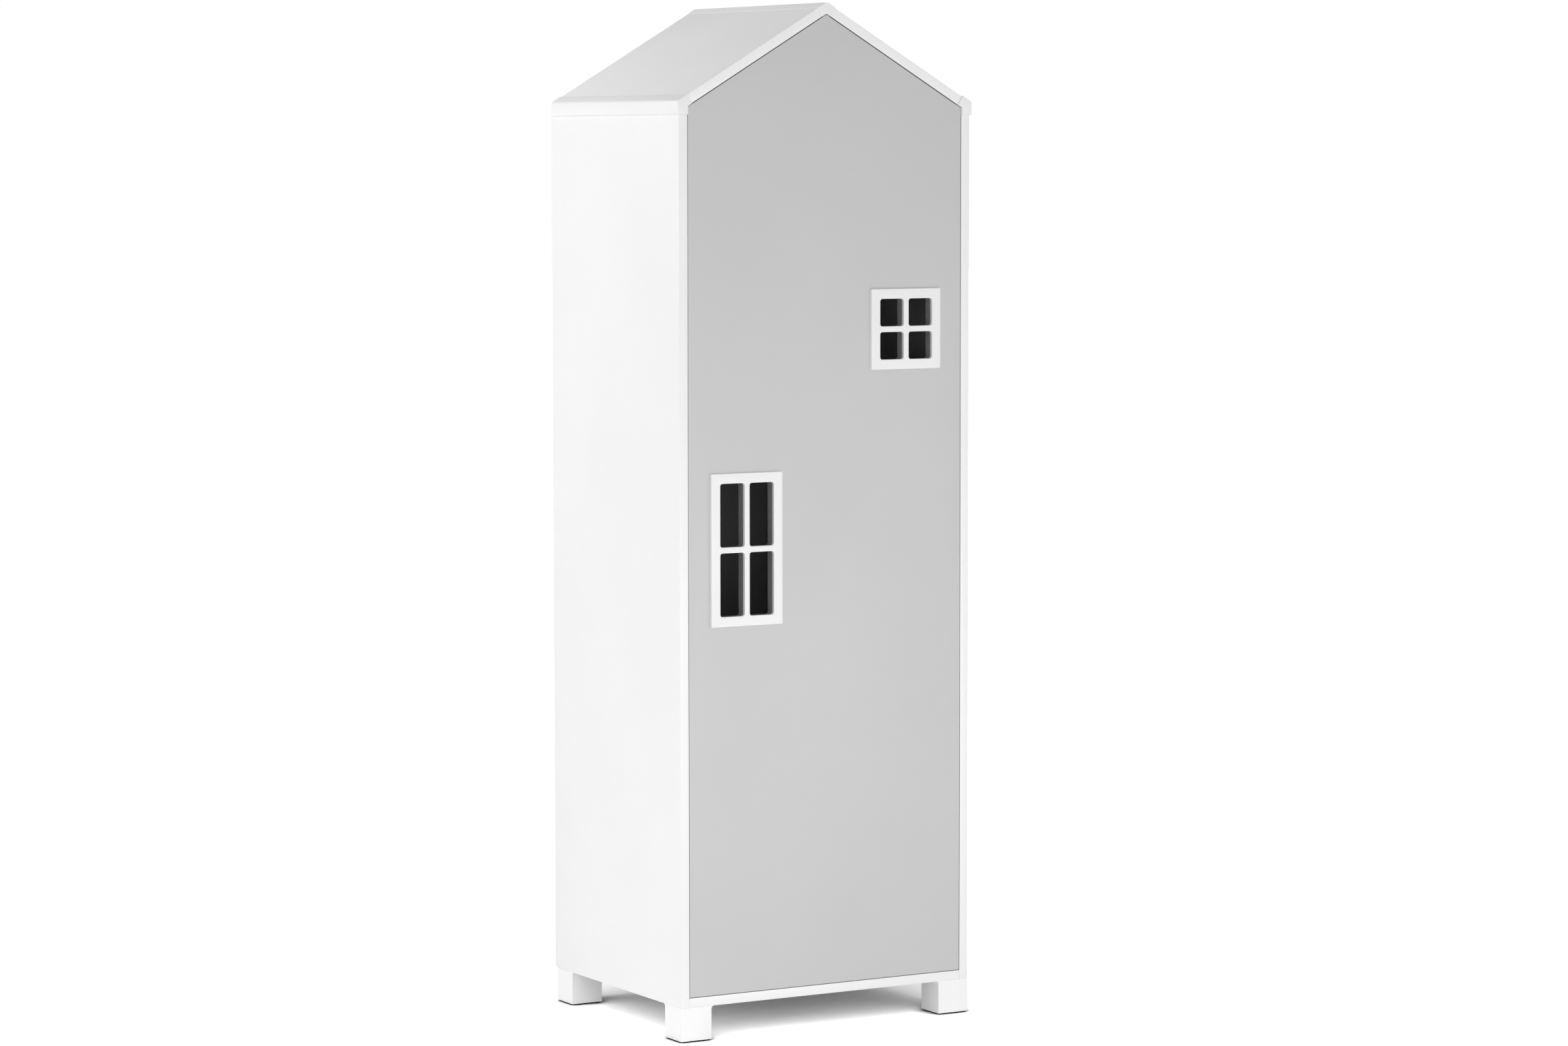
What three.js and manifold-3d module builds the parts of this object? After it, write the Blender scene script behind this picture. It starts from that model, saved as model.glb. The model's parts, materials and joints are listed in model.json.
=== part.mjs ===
// A child's house-shaped wardrobe: a white board carcass with a gable roof on four block feet, and one grey
// inset door that turns on three concealed hinges and is opened by the fingers through its tall window.
// Millimetres, +Z up, front towards -Y. The origin is on the floor, under the middle of the object.

import * as THREE from 'three';
import { mergeVertices } from 'three/addons/utils/BufferGeometryUtils.js';
import Module from 'manifold-3d';

const wasm = await Module();
wasm.setup();

// Carcass
const carcassWidth = 560;
const roofDepth = 450; // also the depth of the floor board
const rearStep = 6; // how far the sides reach behind the roof boards
const totalHeight = 1720;
const roofRise = 163; // from where the outer faces of a side and of its slope would meet, up to the ridge
const boardThickness = 16;
const backThickness = 4;
const backEdgeInset = 3; // from the roof's outer face and from the floor board's underside

// Corner profiles at the eaves and the ridge
const eaveDrop = 23; // from the eave height down to the seam with the side
const eaveLeg = 17.7; // along the slope, from the eave height's corner to the seam with the roof board
const ridgeLeg = 19.5; // along the slope, from the ridge to the seam with the roof board
const sideProud = 2.6;
const slopeProud = 1.2;
const ridgeProud = 0.8;
const eaveFrontProud = 3;
const ridgeFrontProud = 1;
const eaveRadius = 2.5;
const seamRadius = 0.8;
const tongueThickness = 6;
const tongueReach = 10;
const tongueSetback = 40; // from each end of the profile, so that the tongue stays hidden

// Feet
const footWidth = 58;
const footDepth = 56;
const footHeight = 56;
const footCove = 5; // where the two inner sides curve out under the board
const rearFootInset = 2; // from the floor board's rear edge
const glideThickness = 2;
const glideRadius = 18;
const glideStubRadius = 2.5;
const glideStubLength = 8;
const footBoltRadius = 4;
const footBoltHeadRadius = 8;
const footBoltReach = 36; // into the foot
const footBoltInset = 37; // from the outer face of the side

// Cam fittings between the floor board and the sides
const camRadius = 7.5;
const camHeight = 12;
const camSetback = 34; // from the floor board's end to the cam's axis
const camEndDistance = 90; // from the floor board's front and rear edges
const camSlotWidth = 2;
const camSlotDepth = 1.5;
const camBoltRadius = 3;
const camBoltThreadRadius = 2.5;
const camBoltThreadLength = 11;

// Door
const doorThickness = 16;
const doorSideGap = 0.8;
const doorBottomGap = 0.8;
const doorRoofGap = 1.6; // square to the roof board
const doorEdgeBevel = 0.8;

// Windows: the frames lie on the door, and each has four panes cut through the door too
const frameThickness = 6;
const frameWidth = 135;
const frameBorder = 16.5;
const muntinWidth = 9.5;
const paneRadius = 4.5;
const frameCornerRadius = 1.5;
const paneReveal = 0.5; // the door's cut-out stands back this far from the frame's
const squareFrameHeight = 135;
const squareFrameInset = 43.7; // from the door's right edge
const squareFrameZ = 1176;
const tallFrameHeight = 254;
const tallFrameInset = 39.7; // from the door's left edge
const tallFrameZ = 817;

// Concealed hinges: in each an arc-shaped link slides in two cases, one let into the side and one into the
// door's edge. The arc's centre is the door's axis, in the middle of the gap and level with the front faces,
// so that the slanting top of the door doesn't rise into the roof as it opens.
const lowHingeHeight = 190;
const topHingeDrop = 137; // from the eave height
const linkRadius = 11; // to the middle of the link
const linkThickness = 3;
const linkHeight = 12;
const linkHalfAngle = 68; // degrees
const linkEndAngle = 3; // degrees, left free past each end of the link when the door is shut
const linkClearance = 0.1; // between the link and its channel
const caseWall = 1;
const caseFlangeThickness = 2;
const caseFlangeReach = 24; // above the link's middle
const caseScrewHeight = 16; // above the link's middle
const caseScrewRadius = 1.7;
const caseScrewHeadRadius = 3.4;
const caseScrewReach = 12;

// Inside fittings
const shelfDrop = 207; // from the eave height to the shelf's underside
const shelfSetback = 40; // from the carcass front
const shelfPinRadius = 2.5;
const shelfPinHoleDepth = 9;
const shelfPinHeadRadius = 4;
const shelfPinHeadLength = 9;
const shelfPinEndDistance = 50; // from the shelf's front and rear edges
const railRadius = 12.5;
const railWall = 1.2;
const railDrop = 62; // from the shelf's underside to the rail's axis
const socketDiscRadius = 20;
const socketDiscThickness = 3;
const socketRimRadius = 16;
const socketRimLength = 12;
const catchWidth = 40;
const catchHeight = 14;
const catchSeat = 22; // how far it reaches under the shelf
const catchInset = 64; // from the left side's inner face
const strikeWidth = 30;
const strikeHeight = 12;
const strikeThickness = 1.2;
const stopWidth = 40;
const stopHeight = 15;
const stopThickness = 10;
const stopInset = 64; // from the left side's inner face
const bumperRadius = 5;
const bumperThickness = 1.5;

// Clearances
const seatGap = 0.3; // kept where one piece is cut round another or seated on it
const cutOverrun = 1;

// Smoothness
const cornerSteps = 6;
const smallRoundSteps = 20;

// Worked out from the sizes above
const halfWidth = carcassWidth / 2;
const eaveHeight = totalHeight - roofRise;
const sideDepth = roofDepth + rearStep;
const frontY = -(sideDepth - frameThickness) / 2;
const innerX = halfWidth - boardThickness;
const carcassBaseZ = glideThickness + footHeight;
const floorTopZ = carcassBaseZ + boardThickness;
const roofRearY = frontY + roofDepth;
const pitch = Math.atan2(roofRise, halfWidth);
const slopeLength = Math.hypot(halfWidth, roofRise);
const eaveSeamZ = eaveHeight - eaveDrop;
const backFrontY = roofRearY + seatGap;
const doorBackY = frontY + doorThickness;
const doorEdgeX = innerX - doorSideGap;
const doorBottomZ = floorTopZ + doorBottomGap;
const doorAxisX = innerX - doorSideGap / 2;
const topHingeHeight = eaveHeight - topHingeDrop;
const hingeHeights = [lowHingeHeight, (lowHingeHeight + topHingeHeight) / 2, topHingeHeight];

const model = new THREE.Group();
model.name = 'house_wardrobe';

// Materials

function finish(color, roughness, metalness = 0) {
  return new THREE.MeshStandardMaterial({ color, roughness, metalness });
}

const whiteFoil = () => finish('#f3f3f3', 0.45);
const greyLacquer = () => finish('#c7c7c7', 0.5);
const whiteLacquer = () => finish('#f0f0f0', 0.4);
const footLacquer = () => finish('#fafafa', 0.4);
const hardboard = () => finish('#a6a6a6', 0.6);
const nickel = () => finish('#b9bcbf', 0.3, 1);
const steel = () => finish('#8f9396', 0.4, 1);
const zinc = () => finish('#a2a5a6', 0.5, 1);
const chrome = () => finish('#cdcfd1', 0.2, 1);
const greyPlastic = () => finish('#8c8c8a', 0.6);
const whitePlastic = () => finish('#e6e6e3', 0.5);
const rubber = () => finish('#5a5a58', 0.8);

// Solids: cut and join closed meshes

function solidFrom(geometry) {
  const bare = geometry.clone();
  bare.deleteAttribute('normal');
  bare.deleteAttribute('uv');
  const merged = mergeVertices(bare);
  const vertProperties = merged.attributes.position.array;
  const triVerts = Uint32Array.from(merged.index.array);
  return new wasm.Manifold(new wasm.Mesh({ numProp: 3, vertProperties, triVerts }));
}

function geometryFrom(solid) {
  const mesh = solid.getMesh();
  const geometry = new THREE.BufferGeometry();
  geometry.setAttribute('position', new THREE.BufferAttribute(mesh.vertProperties, mesh.numProp));
  geometry.setIndex(new THREE.BufferAttribute(mesh.triVerts, 1));
  geometry.computeVertexNormals();
  return geometry;
}

function cut(geometry, tools) {
  return geometryFrom(tools.reduce((solid, tool) => solid.subtract(solidFrom(tool)), solidFrom(geometry)));
}

function join(geometry, others) {
  return geometryFrom(others.reduce((solid, other) => solid.add(solidFrom(other)), solidFrom(geometry)));
}

// Shapes

function blockBetween(low, high) {
  const size = high.map((value, i) => value - low[i]);
  const block = new THREE.BoxGeometry(...size);
  return block.translate(...low.map((value, i) => value + size[i] / 2));
}

// A turned piece along +Z, its profile given as [radius, z] from the axis round to the axis again
function turned(profile, steps = smallRoundSteps) {
  const lathe = new THREE.LatheGeometry(profile.map(([r, z]) => new THREE.Vector2(r, z)), steps);
  return lathe.rotateX(Math.PI / 2);
}

function rod(radius, low, high, steps = smallRoundSteps) {
  return turned([[0, low], [radius, low], [radius, high], [0, high]], steps);
}

// A countersunk screw or its hole, with the top of its head at z 0 and its tip below
function countersunk(radius, headRadius, reach, head) {
  const taper = headRadius - radius;
  const shank = [[0, -reach], [radius, -reach], [radius, -taper]];
  return turned([...shank, [headRadius, 0], [headRadius, head], [0, head]]);
}

// An outline drawn in x and z, pulled back along +Y from a front plane
function pulledBack(outline, front, depth, options = {}) {
  const settings = { depth, bevelEnabled: false, curveSegments: cornerSteps, ...options };
  const solid = new THREE.ExtrudeGeometry(outline, settings);
  return solid.rotateX(Math.PI / 2).translate(0, front + depth, 0);
}

// Draws to a corner and rounds it, towards the point that follows
function roundCorner(path, corner, before, after, radius) {
  const back = before.clone().sub(corner).setLength(radius).add(corner);
  const ahead = after.clone().sub(corner).setLength(radius).add(corner);
  path.lineTo(back.x, back.y);
  path.quadraticCurveTo(corner.x, corner.y, ahead.x, ahead.y);
}

function roundedRectangle(path, x, z, width, height, radius) {
  const corners = [[-1, -1], [1, -1], [1, 1], [-1, 1]];
  const points = corners.map(([i, k]) => new THREE.Vector2(x + (i * width) / 2, z + (k * height) / 2));
  path.moveTo(points[0].x + radius, points[0].y);
  for (const i of [1, 2, 3, 4]) {
    roundCorner(path, points[i % 4], points[i - 1], points[(i + 1) % 4], radius);
  }
  return path;
}

function polygon(points) {
  return new THREE.Shape(points);
}

// A point on a slope: this far up it from the eave, this far out from the boards' outer face
function onSlope(side, up, out) {
  const x = halfWidth - up * Math.cos(pitch) + out * Math.sin(pitch);
  const z = eaveHeight + up * Math.sin(pitch) + out * Math.cos(pitch);
  return new THREE.Vector2(side * x, z);
}

// The height of a plane that lies this far out from the slope's outer face
function slopeZ(x, out) {
  return totalHeight - Math.abs(x) * Math.tan(pitch) + out / Math.cos(pitch);
}

function add(name, geometry, material, anchor = [0, 0, 0], parent = model) {
  const mesh = new THREE.Mesh(geometry, material);
  mesh.name = name;
  mesh.position.set(...anchor);
  parent.add(mesh);
  return mesh;
}

// Adds a piece drawn where it stands, with its own origin at the anchor
function addInPlace(name, geometry, material, anchor) {
  return add(name, geometry.translate(...anchor.map((value) => -value)), material, anchor);
}

function forBothSides(build) {
  build(-1, 'left');
  build(1, 'right');
}

// Where the feet stand, and the bolt in each

const feet = [];
for (const [side, sideName] of [[-1, 'left'], [1, 'right']]) {
  const x = side * (halfWidth - footWidth / 2);
  const boltX = side * (halfWidth - footBoltInset);
  const rearY = roofRearY - rearFootInset - footDepth / 2;
  feet.push({ name: `front_${sideName}`, x, y: frontY + footDepth / 2, boltX });
  feet.push({ name: `rear_${sideName}`, x, y: rearY, boltX });
}

const camRows = [
  { name: 'front', y: frontY + camEndDistance },
  { name: 'rear', y: roofRearY - camEndDistance },
];
const camBoltZ = carcassBaseZ + boardThickness / 2;

// Shelf and rail places

const shelfUndersideZ = eaveHeight - shelfDrop;
const shelfTopZ = shelfUndersideZ + boardThickness;
const shelfFrontY = frontY + shelfSetback;
const shelfPinZ = shelfUndersideZ - seatGap - shelfPinHeadRadius;
const shelfPinRows = [
  { name: 'front', y: shelfFrontY + shelfPinEndDistance },
  { name: 'rear', y: roofRearY - shelfPinEndDistance },
];
const railZ = shelfUndersideZ - railDrop;
const railY = (doorBackY + roofRearY) / 2;

// Hinges, drawn about the door's axis with the door shut. A case reaches towards +X in the side, side 1,
// and towards -X in the door, side -1.

const caseFaceX = doorSideGap / 2;
const linkInner = linkRadius - linkThickness / 2;
const linkOuter = linkRadius + linkThickness / 2;
const channelEnd = THREE.MathUtils.degToRad(90 - linkHalfAngle - linkEndAngle);
const channelInner = linkInner - linkClearance;
const channelOuter = linkOuter + linkClearance;
const channelHalfHeight = linkHeight / 2 + linkClearance;
const caseFrontY = channelInner * Math.sin(channelEnd) - caseWall;
const caseRearY = channelOuter + caseWall;
const caseDeepX = channelOuter * Math.cos(channelEnd) + caseWall;
const caseHalfHeight = channelHalfHeight + caseWall;
const caseMiddleY = (caseFrontY + caseRearY) / 2;

// A bent band between two radii, drawn from one angle round to another
function band(inner, outer, from, to) {
  const outline = new THREE.Shape();
  outline.absarc(0, 0, outer, from, to, false);
  outline.absarc(0, 0, inner, to, from, true);
  return outline.closePath();
}

function upright(outline, halfHeight) {
  const settings = { depth: 2 * halfHeight, bevelEnabled: false, curveSegments: cornerSteps };
  return new THREE.ExtrudeGeometry(outline, settings).translate(0, 0, -halfHeight);
}

// A case's box and flange, grown by a gap on every side but the face
function caseBlocks(side, gap) {
  const blocks = [
    { deepX: caseDeepX, bottom: -caseHalfHeight, top: caseHalfHeight },
    { deepX: caseFaceX + caseFlangeThickness, bottom: -caseHalfHeight, top: caseFlangeReach },
  ];
  return blocks.map(({ deepX, bottom, top }) => {
    const face = side * (caseFaceX - (gap > 0 ? cutOverrun : 0));
    const ends = [face, side * (deepX + gap)].sort((a, b) => a - b);
    const low = [ends[0], caseFrontY - gap, bottom - gap];
    return blockBetween(low, [ends[1], caseRearY + gap, top + gap]);
  });
}

function caseScrew(side, gap) {
  const reach = caseScrewReach + gap;
  const head = gap > 0 ? cutOverrun : 0;
  const screw = countersunk(caseScrewRadius + gap, caseScrewHeadRadius + gap, reach, head);
  screw.rotateY((-side * Math.PI) / 2);
  return screw.translate(side * caseFaceX, caseMiddleY, caseScrewHeight);
}

function hingeCase(side) {
  const blocks = caseBlocks(side, 0);
  const span = side > 0 ? [channelEnd, Math.PI / 2] : [Math.PI / 2, Math.PI - channelEnd];
  const channel = upright(band(channelInner, channelOuter, ...span), channelHalfHeight);
  return cut(join(blocks[0], [blocks[1]]), [channel, caseScrew(side, seatGap)]);
}

function casePocket(side, z) {
  const tools = [...caseBlocks(side, seatGap), caseScrew(side, seatGap)];
  return tools.map((tool) => tool.translate(doorAxisX, frontY, z));
}

function hingeLink() {
  const half = THREE.MathUtils.degToRad(linkHalfAngle);
  return upright(band(linkInner, linkOuter, Math.PI / 2 - half, Math.PI / 2 + half), linkHeight / 2);
}

hingeHeights.forEach((z, i) => {
  const hinge = new THREE.Group();
  hinge.position.set(doorAxisX, frontY, z);
  model.add(hinge);
  const number = i + 1;
  add(`hinge_link_${number}`, hingeLink(), steel(), [0, 0, 0], hinge);
  for (const [side, place] of [[1, 'side'], [-1, 'door']]) {
    add(`hinge_case_${place}_${number}`, hingeCase(side), nickel(), [0, 0, 0], hinge);
    add(`hinge_screw_${place}_${number}`, caseScrew(side, 0), zinc(), [0, 0, 0], hinge);
  }
});

// Sides, floor, back and roof

// The slot that an upright tongue enters, in the top edge of a side
function sideGroove(side) {
  const middleX = side * (halfWidth - boardThickness / 2);
  const half = tongueThickness / 2 + seatGap;
  const low = [middleX - half, frontY + tongueSetback - seatGap, eaveSeamZ - tongueReach - seatGap];
  const high = [middleX + half, roofRearY - tongueSetback + seatGap, eaveSeamZ + cutOverrun];
  return blockBetween(low, high);
}

// A blind hole from a side's inner face outwards
function sideHole(side, radius, depth, y, z) {
  const hole = rod(radius, -cutOverrun, depth).rotateY((side * Math.PI) / 2);
  return hole.translate(side * innerX, y, z);
}

function sidePanel(side) {
  const edges = [side * innerX, side * halfWidth].sort((a, b) => a - b);
  const low = [edges[0], frontY, carcassBaseZ];
  const high = [edges[1], frontY + sideDepth, eaveSeamZ];
  const threadHole = camBoltThreadRadius + seatGap;
  const threadDepth = camBoltThreadLength + seatGap;
  const camHoles = camRows.map(({ y }) => sideHole(side, threadHole, threadDepth, y, camBoltZ));
  const pinHole = shelfPinRadius + seatGap;
  const pinHoles = shelfPinRows.map(({ y }) => sideHole(side, pinHole, shelfPinHoleDepth, y, shelfPinZ));
  const casePockets = side > 0 ? hingeHeights.flatMap((z) => casePocket(side, z)) : [];
  return cut(blockBetween(low, high), [sideGroove(side), ...camHoles, ...pinHoles, ...casePockets]);
}

forBothSides((side, sideName) => {
  const anchor = [side * (halfWidth - boardThickness / 2), frontY, carcassBaseZ];
  addInPlace(`side_panel_${sideName}`, sidePanel(side), whiteFoil(), anchor);
});

function floorPanel() {
  const low = [-innerX, frontY, carcassBaseZ];
  const high = [innerX, roofRearY, floorTopZ];
  const tools = [];
  for (const { boltX, y } of feet) {
    const reach = boardThickness + cutOverrun;
    const hole = countersunk(footBoltRadius + seatGap, footBoltHeadRadius + seatGap, reach, cutOverrun);
    tools.push(hole.translate(boltX, y, floorTopZ));
  }
  for (const { y } of camRows) {
    for (const side of [-1, 1]) {
      const pocket = rod(camRadius + seatGap, -cutOverrun, camHeight + seatGap);
      tools.push(pocket.translate(side * (innerX - camSetback), y, carcassBaseZ));
      const channel = rod(camBoltRadius + seatGap, -cutOverrun, camSetback).rotateY((-side * Math.PI) / 2);
      tools.push(channel.translate(side * innerX, y, camBoltZ));
    }
  }
  return cut(blockBetween(low, high), tools);
}

addInPlace('floor_panel', floorPanel(), whiteFoil(), [0, frontY, carcassBaseZ]);

function backPanel() {
  const edgeX = innerX - seatGap;
  const lowZ = carcassBaseZ + backEdgeInset;
  const shoulderZ = slopeZ(edgeX, -backEdgeInset);
  const outline = polygon([
    new THREE.Vector2(-edgeX, lowZ),
    new THREE.Vector2(edgeX, lowZ),
    new THREE.Vector2(edgeX, shoulderZ),
    new THREE.Vector2(0, slopeZ(0, -backEdgeInset)),
    new THREE.Vector2(-edgeX, shoulderZ),
  ]);
  return pulledBack(outline, backFrontY, backThickness);
}

addInPlace('back_panel', backPanel(), hardboard(), [0, backFrontY, carcassBaseZ]);

// A roof board lies in a group turned to the slope, where x runs along it and z out of it
forBothSides((side, sideName) => {
  const slope = new THREE.Group();
  slope.position.set(side * halfWidth, frontY, eaveHeight);
  slope.rotation.y = side * pitch;
  model.add(slope);
  const length = slopeLength - eaveLeg - ridgeLeg - 2 * seatGap;
  const board = new THREE.BoxGeometry(length, roofDepth, boardThickness);
  const grooves = [-1, 1].map((end) => {
    const slot = tongueReach + seatGap + cutOverrun;
    const width = roofDepth - 2 * (tongueSetback - seatGap);
    const groove = new THREE.BoxGeometry(slot, width, tongueThickness + 2 * seatGap);
    return groove.translate(end * (length / 2 + cutOverrun - slot / 2), 0, 0);
  });
  const middle = eaveLeg + seatGap + length / 2;
  const anchor = [-side * middle, roofDepth / 2, -boardThickness / 2];
  add(`roof_panel_${sideName}`, cut(board, grooves), whiteFoil(), anchor, slope);
});

// Corner profiles, flush inside and a little proud outside and in front

function profileAlong(outline, proud) {
  return pulledBack(outline, frontY - proud, roofDepth + proud);
}

const tongueRoot = tongueThickness / 2; // how deep a tongue is sunk in its own profile

// A tongue that leaves the slope's seam, square to it
function slopeTongue(side, seamUp, direction) {
  const length = tongueReach + tongueRoot;
  const tongue = new THREE.BoxGeometry(length, roofDepth - 2 * tongueSetback, tongueThickness);
  const middle = onSlope(side, seamUp + direction * (length / 2 - tongueRoot), -boardThickness / 2);
  return tongue.rotateY(side * pitch).translate(middle.x, frontY + roofDepth / 2, middle.y);
}

function eaveCorner(side) {
  const outerX = halfWidth + sideProud;
  const cornerZ = slopeZ(outerX, slopeProud);
  const innerCornerZ = slopeZ(innerX, -boardThickness);
  const seamBottom = new THREE.Vector2(side * outerX, eaveSeamZ);
  const innerBottom = new THREE.Vector2(side * innerX, eaveSeamZ);
  const corner = new THREE.Vector2(side * outerX, cornerZ);
  const seamTop = onSlope(side, eaveLeg, slopeProud);
  const seamInner = onSlope(side, eaveLeg, -boardThickness);
  const outline = new THREE.Shape();
  outline.moveTo(innerBottom.x, innerBottom.y);
  roundCorner(outline, seamBottom, innerBottom, corner, seamRadius);
  roundCorner(outline, corner, seamBottom, seamTop, eaveRadius);
  roundCorner(outline, seamTop, corner, seamInner, seamRadius);
  outline.lineTo(seamInner.x, seamInner.y);
  outline.lineTo(side * innerX, innerCornerZ);
  outline.closePath();
  const middleX = side * (halfWidth - boardThickness / 2);
  const low = [middleX - tongueThickness / 2, frontY + tongueSetback, eaveSeamZ - tongueReach];
  const high = [middleX + tongueThickness / 2, roofRearY - tongueSetback, eaveSeamZ + tongueRoot];
  return join(profileAlong(outline, eaveFrontProud), [blockBetween(low, high), slopeTongue(side, eaveLeg, 1)]);
}

forBothSides((side, sideName) => {
  const anchor = [side * halfWidth, frontY, eaveHeight];
  addInPlace(`eave_corner_${sideName}`, eaveCorner(side), whiteLacquer(), anchor);
});

// The ridge is rounded so that its top is level with the ridge that the boards' outer faces would make
function ridgeCorner() {
  const seamUp = slopeLength - ridgeLeg;
  const radius = ridgeProud / (1 - Math.cos(pitch));
  const outline = new THREE.Shape();
  const innerSeam = [-1, 1].map((side) => onSlope(side, seamUp, -boardThickness));
  const outerSeam = [-1, 1].map((side) => onSlope(side, seamUp, ridgeProud));
  outline.moveTo(innerSeam[1].x, innerSeam[1].y);
  roundCorner(outline, outerSeam[1], innerSeam[1], new THREE.Vector2(0, totalHeight), seamRadius);
  const centreZ = totalHeight - radius;
  outline.absarc(0, centreZ, radius, Math.PI / 2 - pitch, Math.PI / 2 + pitch, false);
  roundCorner(outline, outerSeam[0], new THREE.Vector2(0, totalHeight), innerSeam[0], seamRadius);
  outline.lineTo(innerSeam[0].x, innerSeam[0].y);
  outline.lineTo(0, slopeZ(0, -boardThickness));
  outline.closePath();
  const tongues = [-1, 1].map((side) => slopeTongue(side, seamUp, -1));
  return join(profileAlong(outline, ridgeFrontProud), tongues);
}

addInPlace('ridge_corner', ridgeCorner(), whiteLacquer(), [0, frontY, totalHeight]);

// Feet, glides and the bolts that hold the feet

// One direction of a foot: straight outside, and inside curving out to the board above
function footOutline(width, inward) {
  const edge = inward * (width / 2);
  const top = footHeight / 2;
  const outline = new THREE.Shape();
  outline.moveTo(-edge, -top);
  outline.lineTo(edge, -top);
  outline.lineTo(edge, top - footCove);
  outline.quadraticCurveTo(edge, top, edge + inward * footCove, top);
  outline.lineTo(-edge, top);
  outline.closePath();
  return outline;
}

function footBlock(x, y) {
  const reach = Math.max(footWidth, footDepth) / 2 + footCove;
  const across = pulledBack(footOutline(footWidth, -Math.sign(x)), -reach, 2 * reach);
  const along = pulledBack(footOutline(footDepth, -Math.sign(y)), -reach, 2 * reach);
  return geometryFrom(solidFrom(across).intersect(solidFrom(along.rotateZ(Math.PI / 2))));
}

for (const { name, x, y, boltX } of feet) {
  const boltDepth = footBoltReach + seatGap;
  const boltBore = rod(footBoltRadius + seatGap, footHeight / 2 - boltDepth, footHeight / 2 + cutOverrun);
  const stubBore = rod(glideStubRadius + seatGap, -cutOverrun, glideStubLength + seatGap);
  const tools = [boltBore.translate(boltX - x, 0, 0), stubBore.translate(0, 0, -footHeight / 2)];
  const place = [x, y, glideThickness + footHeight / 2];
  add(`foot_${name}`, cut(footBlock(x, y), tools), footLacquer(), place);
  const stubTop = glideThickness + glideStubLength;
  const glide = turned([
    [0, 0],
    [glideRadius, 0],
    [glideRadius, glideThickness],
    [glideStubRadius, glideThickness],
    [glideStubRadius, stubTop],
    [0, stubTop],
  ]);
  add(`glide_${name}`, glide, greyPlastic(), [x, y, 0]);
  const bolt = countersunk(footBoltRadius, footBoltHeadRadius, boardThickness + footBoltReach, 0);
  add(`foot_bolt_${name}`, bolt, zinc(), [boltX, y, floorTopZ]);
}

// Cam fittings, with the cam's mouth towards the side panel

forBothSides((side, sideName) => {
  for (const { name, y } of camRows) {
    const camX = side * (innerX - camSetback);
    const mouth = rod(camBoltRadius + seatGap, 0, camRadius + cutOverrun).rotateY((side * Math.PI) / 2);
    const slots = [[camRadius, camSlotWidth], [camSlotWidth, camRadius]].map(([length, width]) =>
      new THREE.BoxGeometry(length, width, 2 * camSlotDepth));
    const tools = [mouth.translate(0, 0, boardThickness / 2), ...slots];
    add(`cam_${name}_${sideName}`, cut(rod(camRadius, 0, camHeight), tools), zinc(), [camX, y, carcassBaseZ]);
    const shank = camSetback - 2 * seatGap;
    const bolt = turned([
      [0, -shank],
      [camBoltRadius, -shank],
      [camBoltRadius, -seatGap],
      [camBoltThreadRadius, -seatGap],
      [camBoltThreadRadius, camBoltThreadLength],
      [0, camBoltThreadLength],
    ]);
    bolt.rotateY((side * Math.PI) / 2);
    add(`cam_bolt_${name}_${sideName}`, bolt, steel(), [side * innerX, y, camBoltZ]);
  }
});

// Shelf on four pins

const shelfLow = [-innerX + seatGap, shelfFrontY, shelfUndersideZ];
const shelfHigh = [innerX - seatGap, roofRearY, shelfTopZ];
addInPlace('shelf', blockBetween(shelfLow, shelfHigh), whiteFoil(), [0, shelfFrontY, shelfUndersideZ]);

forBothSides((side, sideName) => {
  for (const { name, y } of shelfPinRows) {
    const pin = turned([
      [0, -shelfPinHeadLength],
      [shelfPinHeadRadius, -shelfPinHeadLength],
      [shelfPinHeadRadius, -seatGap],
      [shelfPinRadius, -seatGap],
      [shelfPinRadius, shelfPinHoleDepth - seatGap],
      [0, shelfPinHoleDepth - seatGap],
    ]);
    pin.rotateY((side * Math.PI) / 2);
    add(`shelf_pin_${name}_${sideName}`, pin, zinc(), [side * innerX, y, shelfPinZ]);
  }
});

// Clothes rail and its sockets

const railLength = 2 * (innerX - socketDiscThickness - seatGap);
const railTube = turned([
  [railRadius - railWall, -railLength / 2],
  [railRadius, -railLength / 2],
  [railRadius, railLength / 2],
  [railRadius - railWall, railLength / 2],
  [railRadius - railWall, -railLength / 2],
]);
add('clothes_rail', railTube.rotateY(Math.PI / 2), chrome(), [0, railY, railZ]);

forBothSides((side, sideName) => {
  const bore = railRadius + seatGap;
  const rimEnd = socketDiscThickness + socketRimLength;
  const socket = turned([
    [0, 0],
    [socketDiscRadius, 0],
    [socketDiscRadius, -socketDiscThickness],
    [socketRimRadius, -socketDiscThickness],
    [socketRimRadius, -rimEnd],
    [bore, -rimEnd],
    [bore, -socketDiscThickness],
    [0, -socketDiscThickness],
  ].reverse());
  socket.rotateY((side * Math.PI) / 2);
  add(`rail_socket_${sideName}`, socket, zinc(), [side * innerX, railY, railZ]);
});

// Door and window frames

function panesOf({ x, z, height }) {
  const width = (frameWidth - 2 * frameBorder - muntinWidth) / 2;
  const tall = (height - 2 * frameBorder - muntinWidth) / 2;
  const places = [[-1, -1], [1, -1], [-1, 1], [1, 1]];
  return places.map(([i, k]) => ({
    x: x + (i * (width + muntinWidth)) / 2,
    z: z + (k * (tall + muntinWidth)) / 2,
    width,
    height: tall,
  }));
}

const squareFrameX = doorEdgeX - squareFrameInset - frameWidth / 2;
const tallFrameX = -(doorEdgeX - tallFrameInset - frameWidth / 2);
const windows = [
  { name: 'window_frame_square', x: squareFrameX, z: squareFrameZ, height: squareFrameHeight },
  { name: 'window_frame_tall', x: tallFrameX, z: tallFrameZ, height: tallFrameHeight },
];

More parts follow.
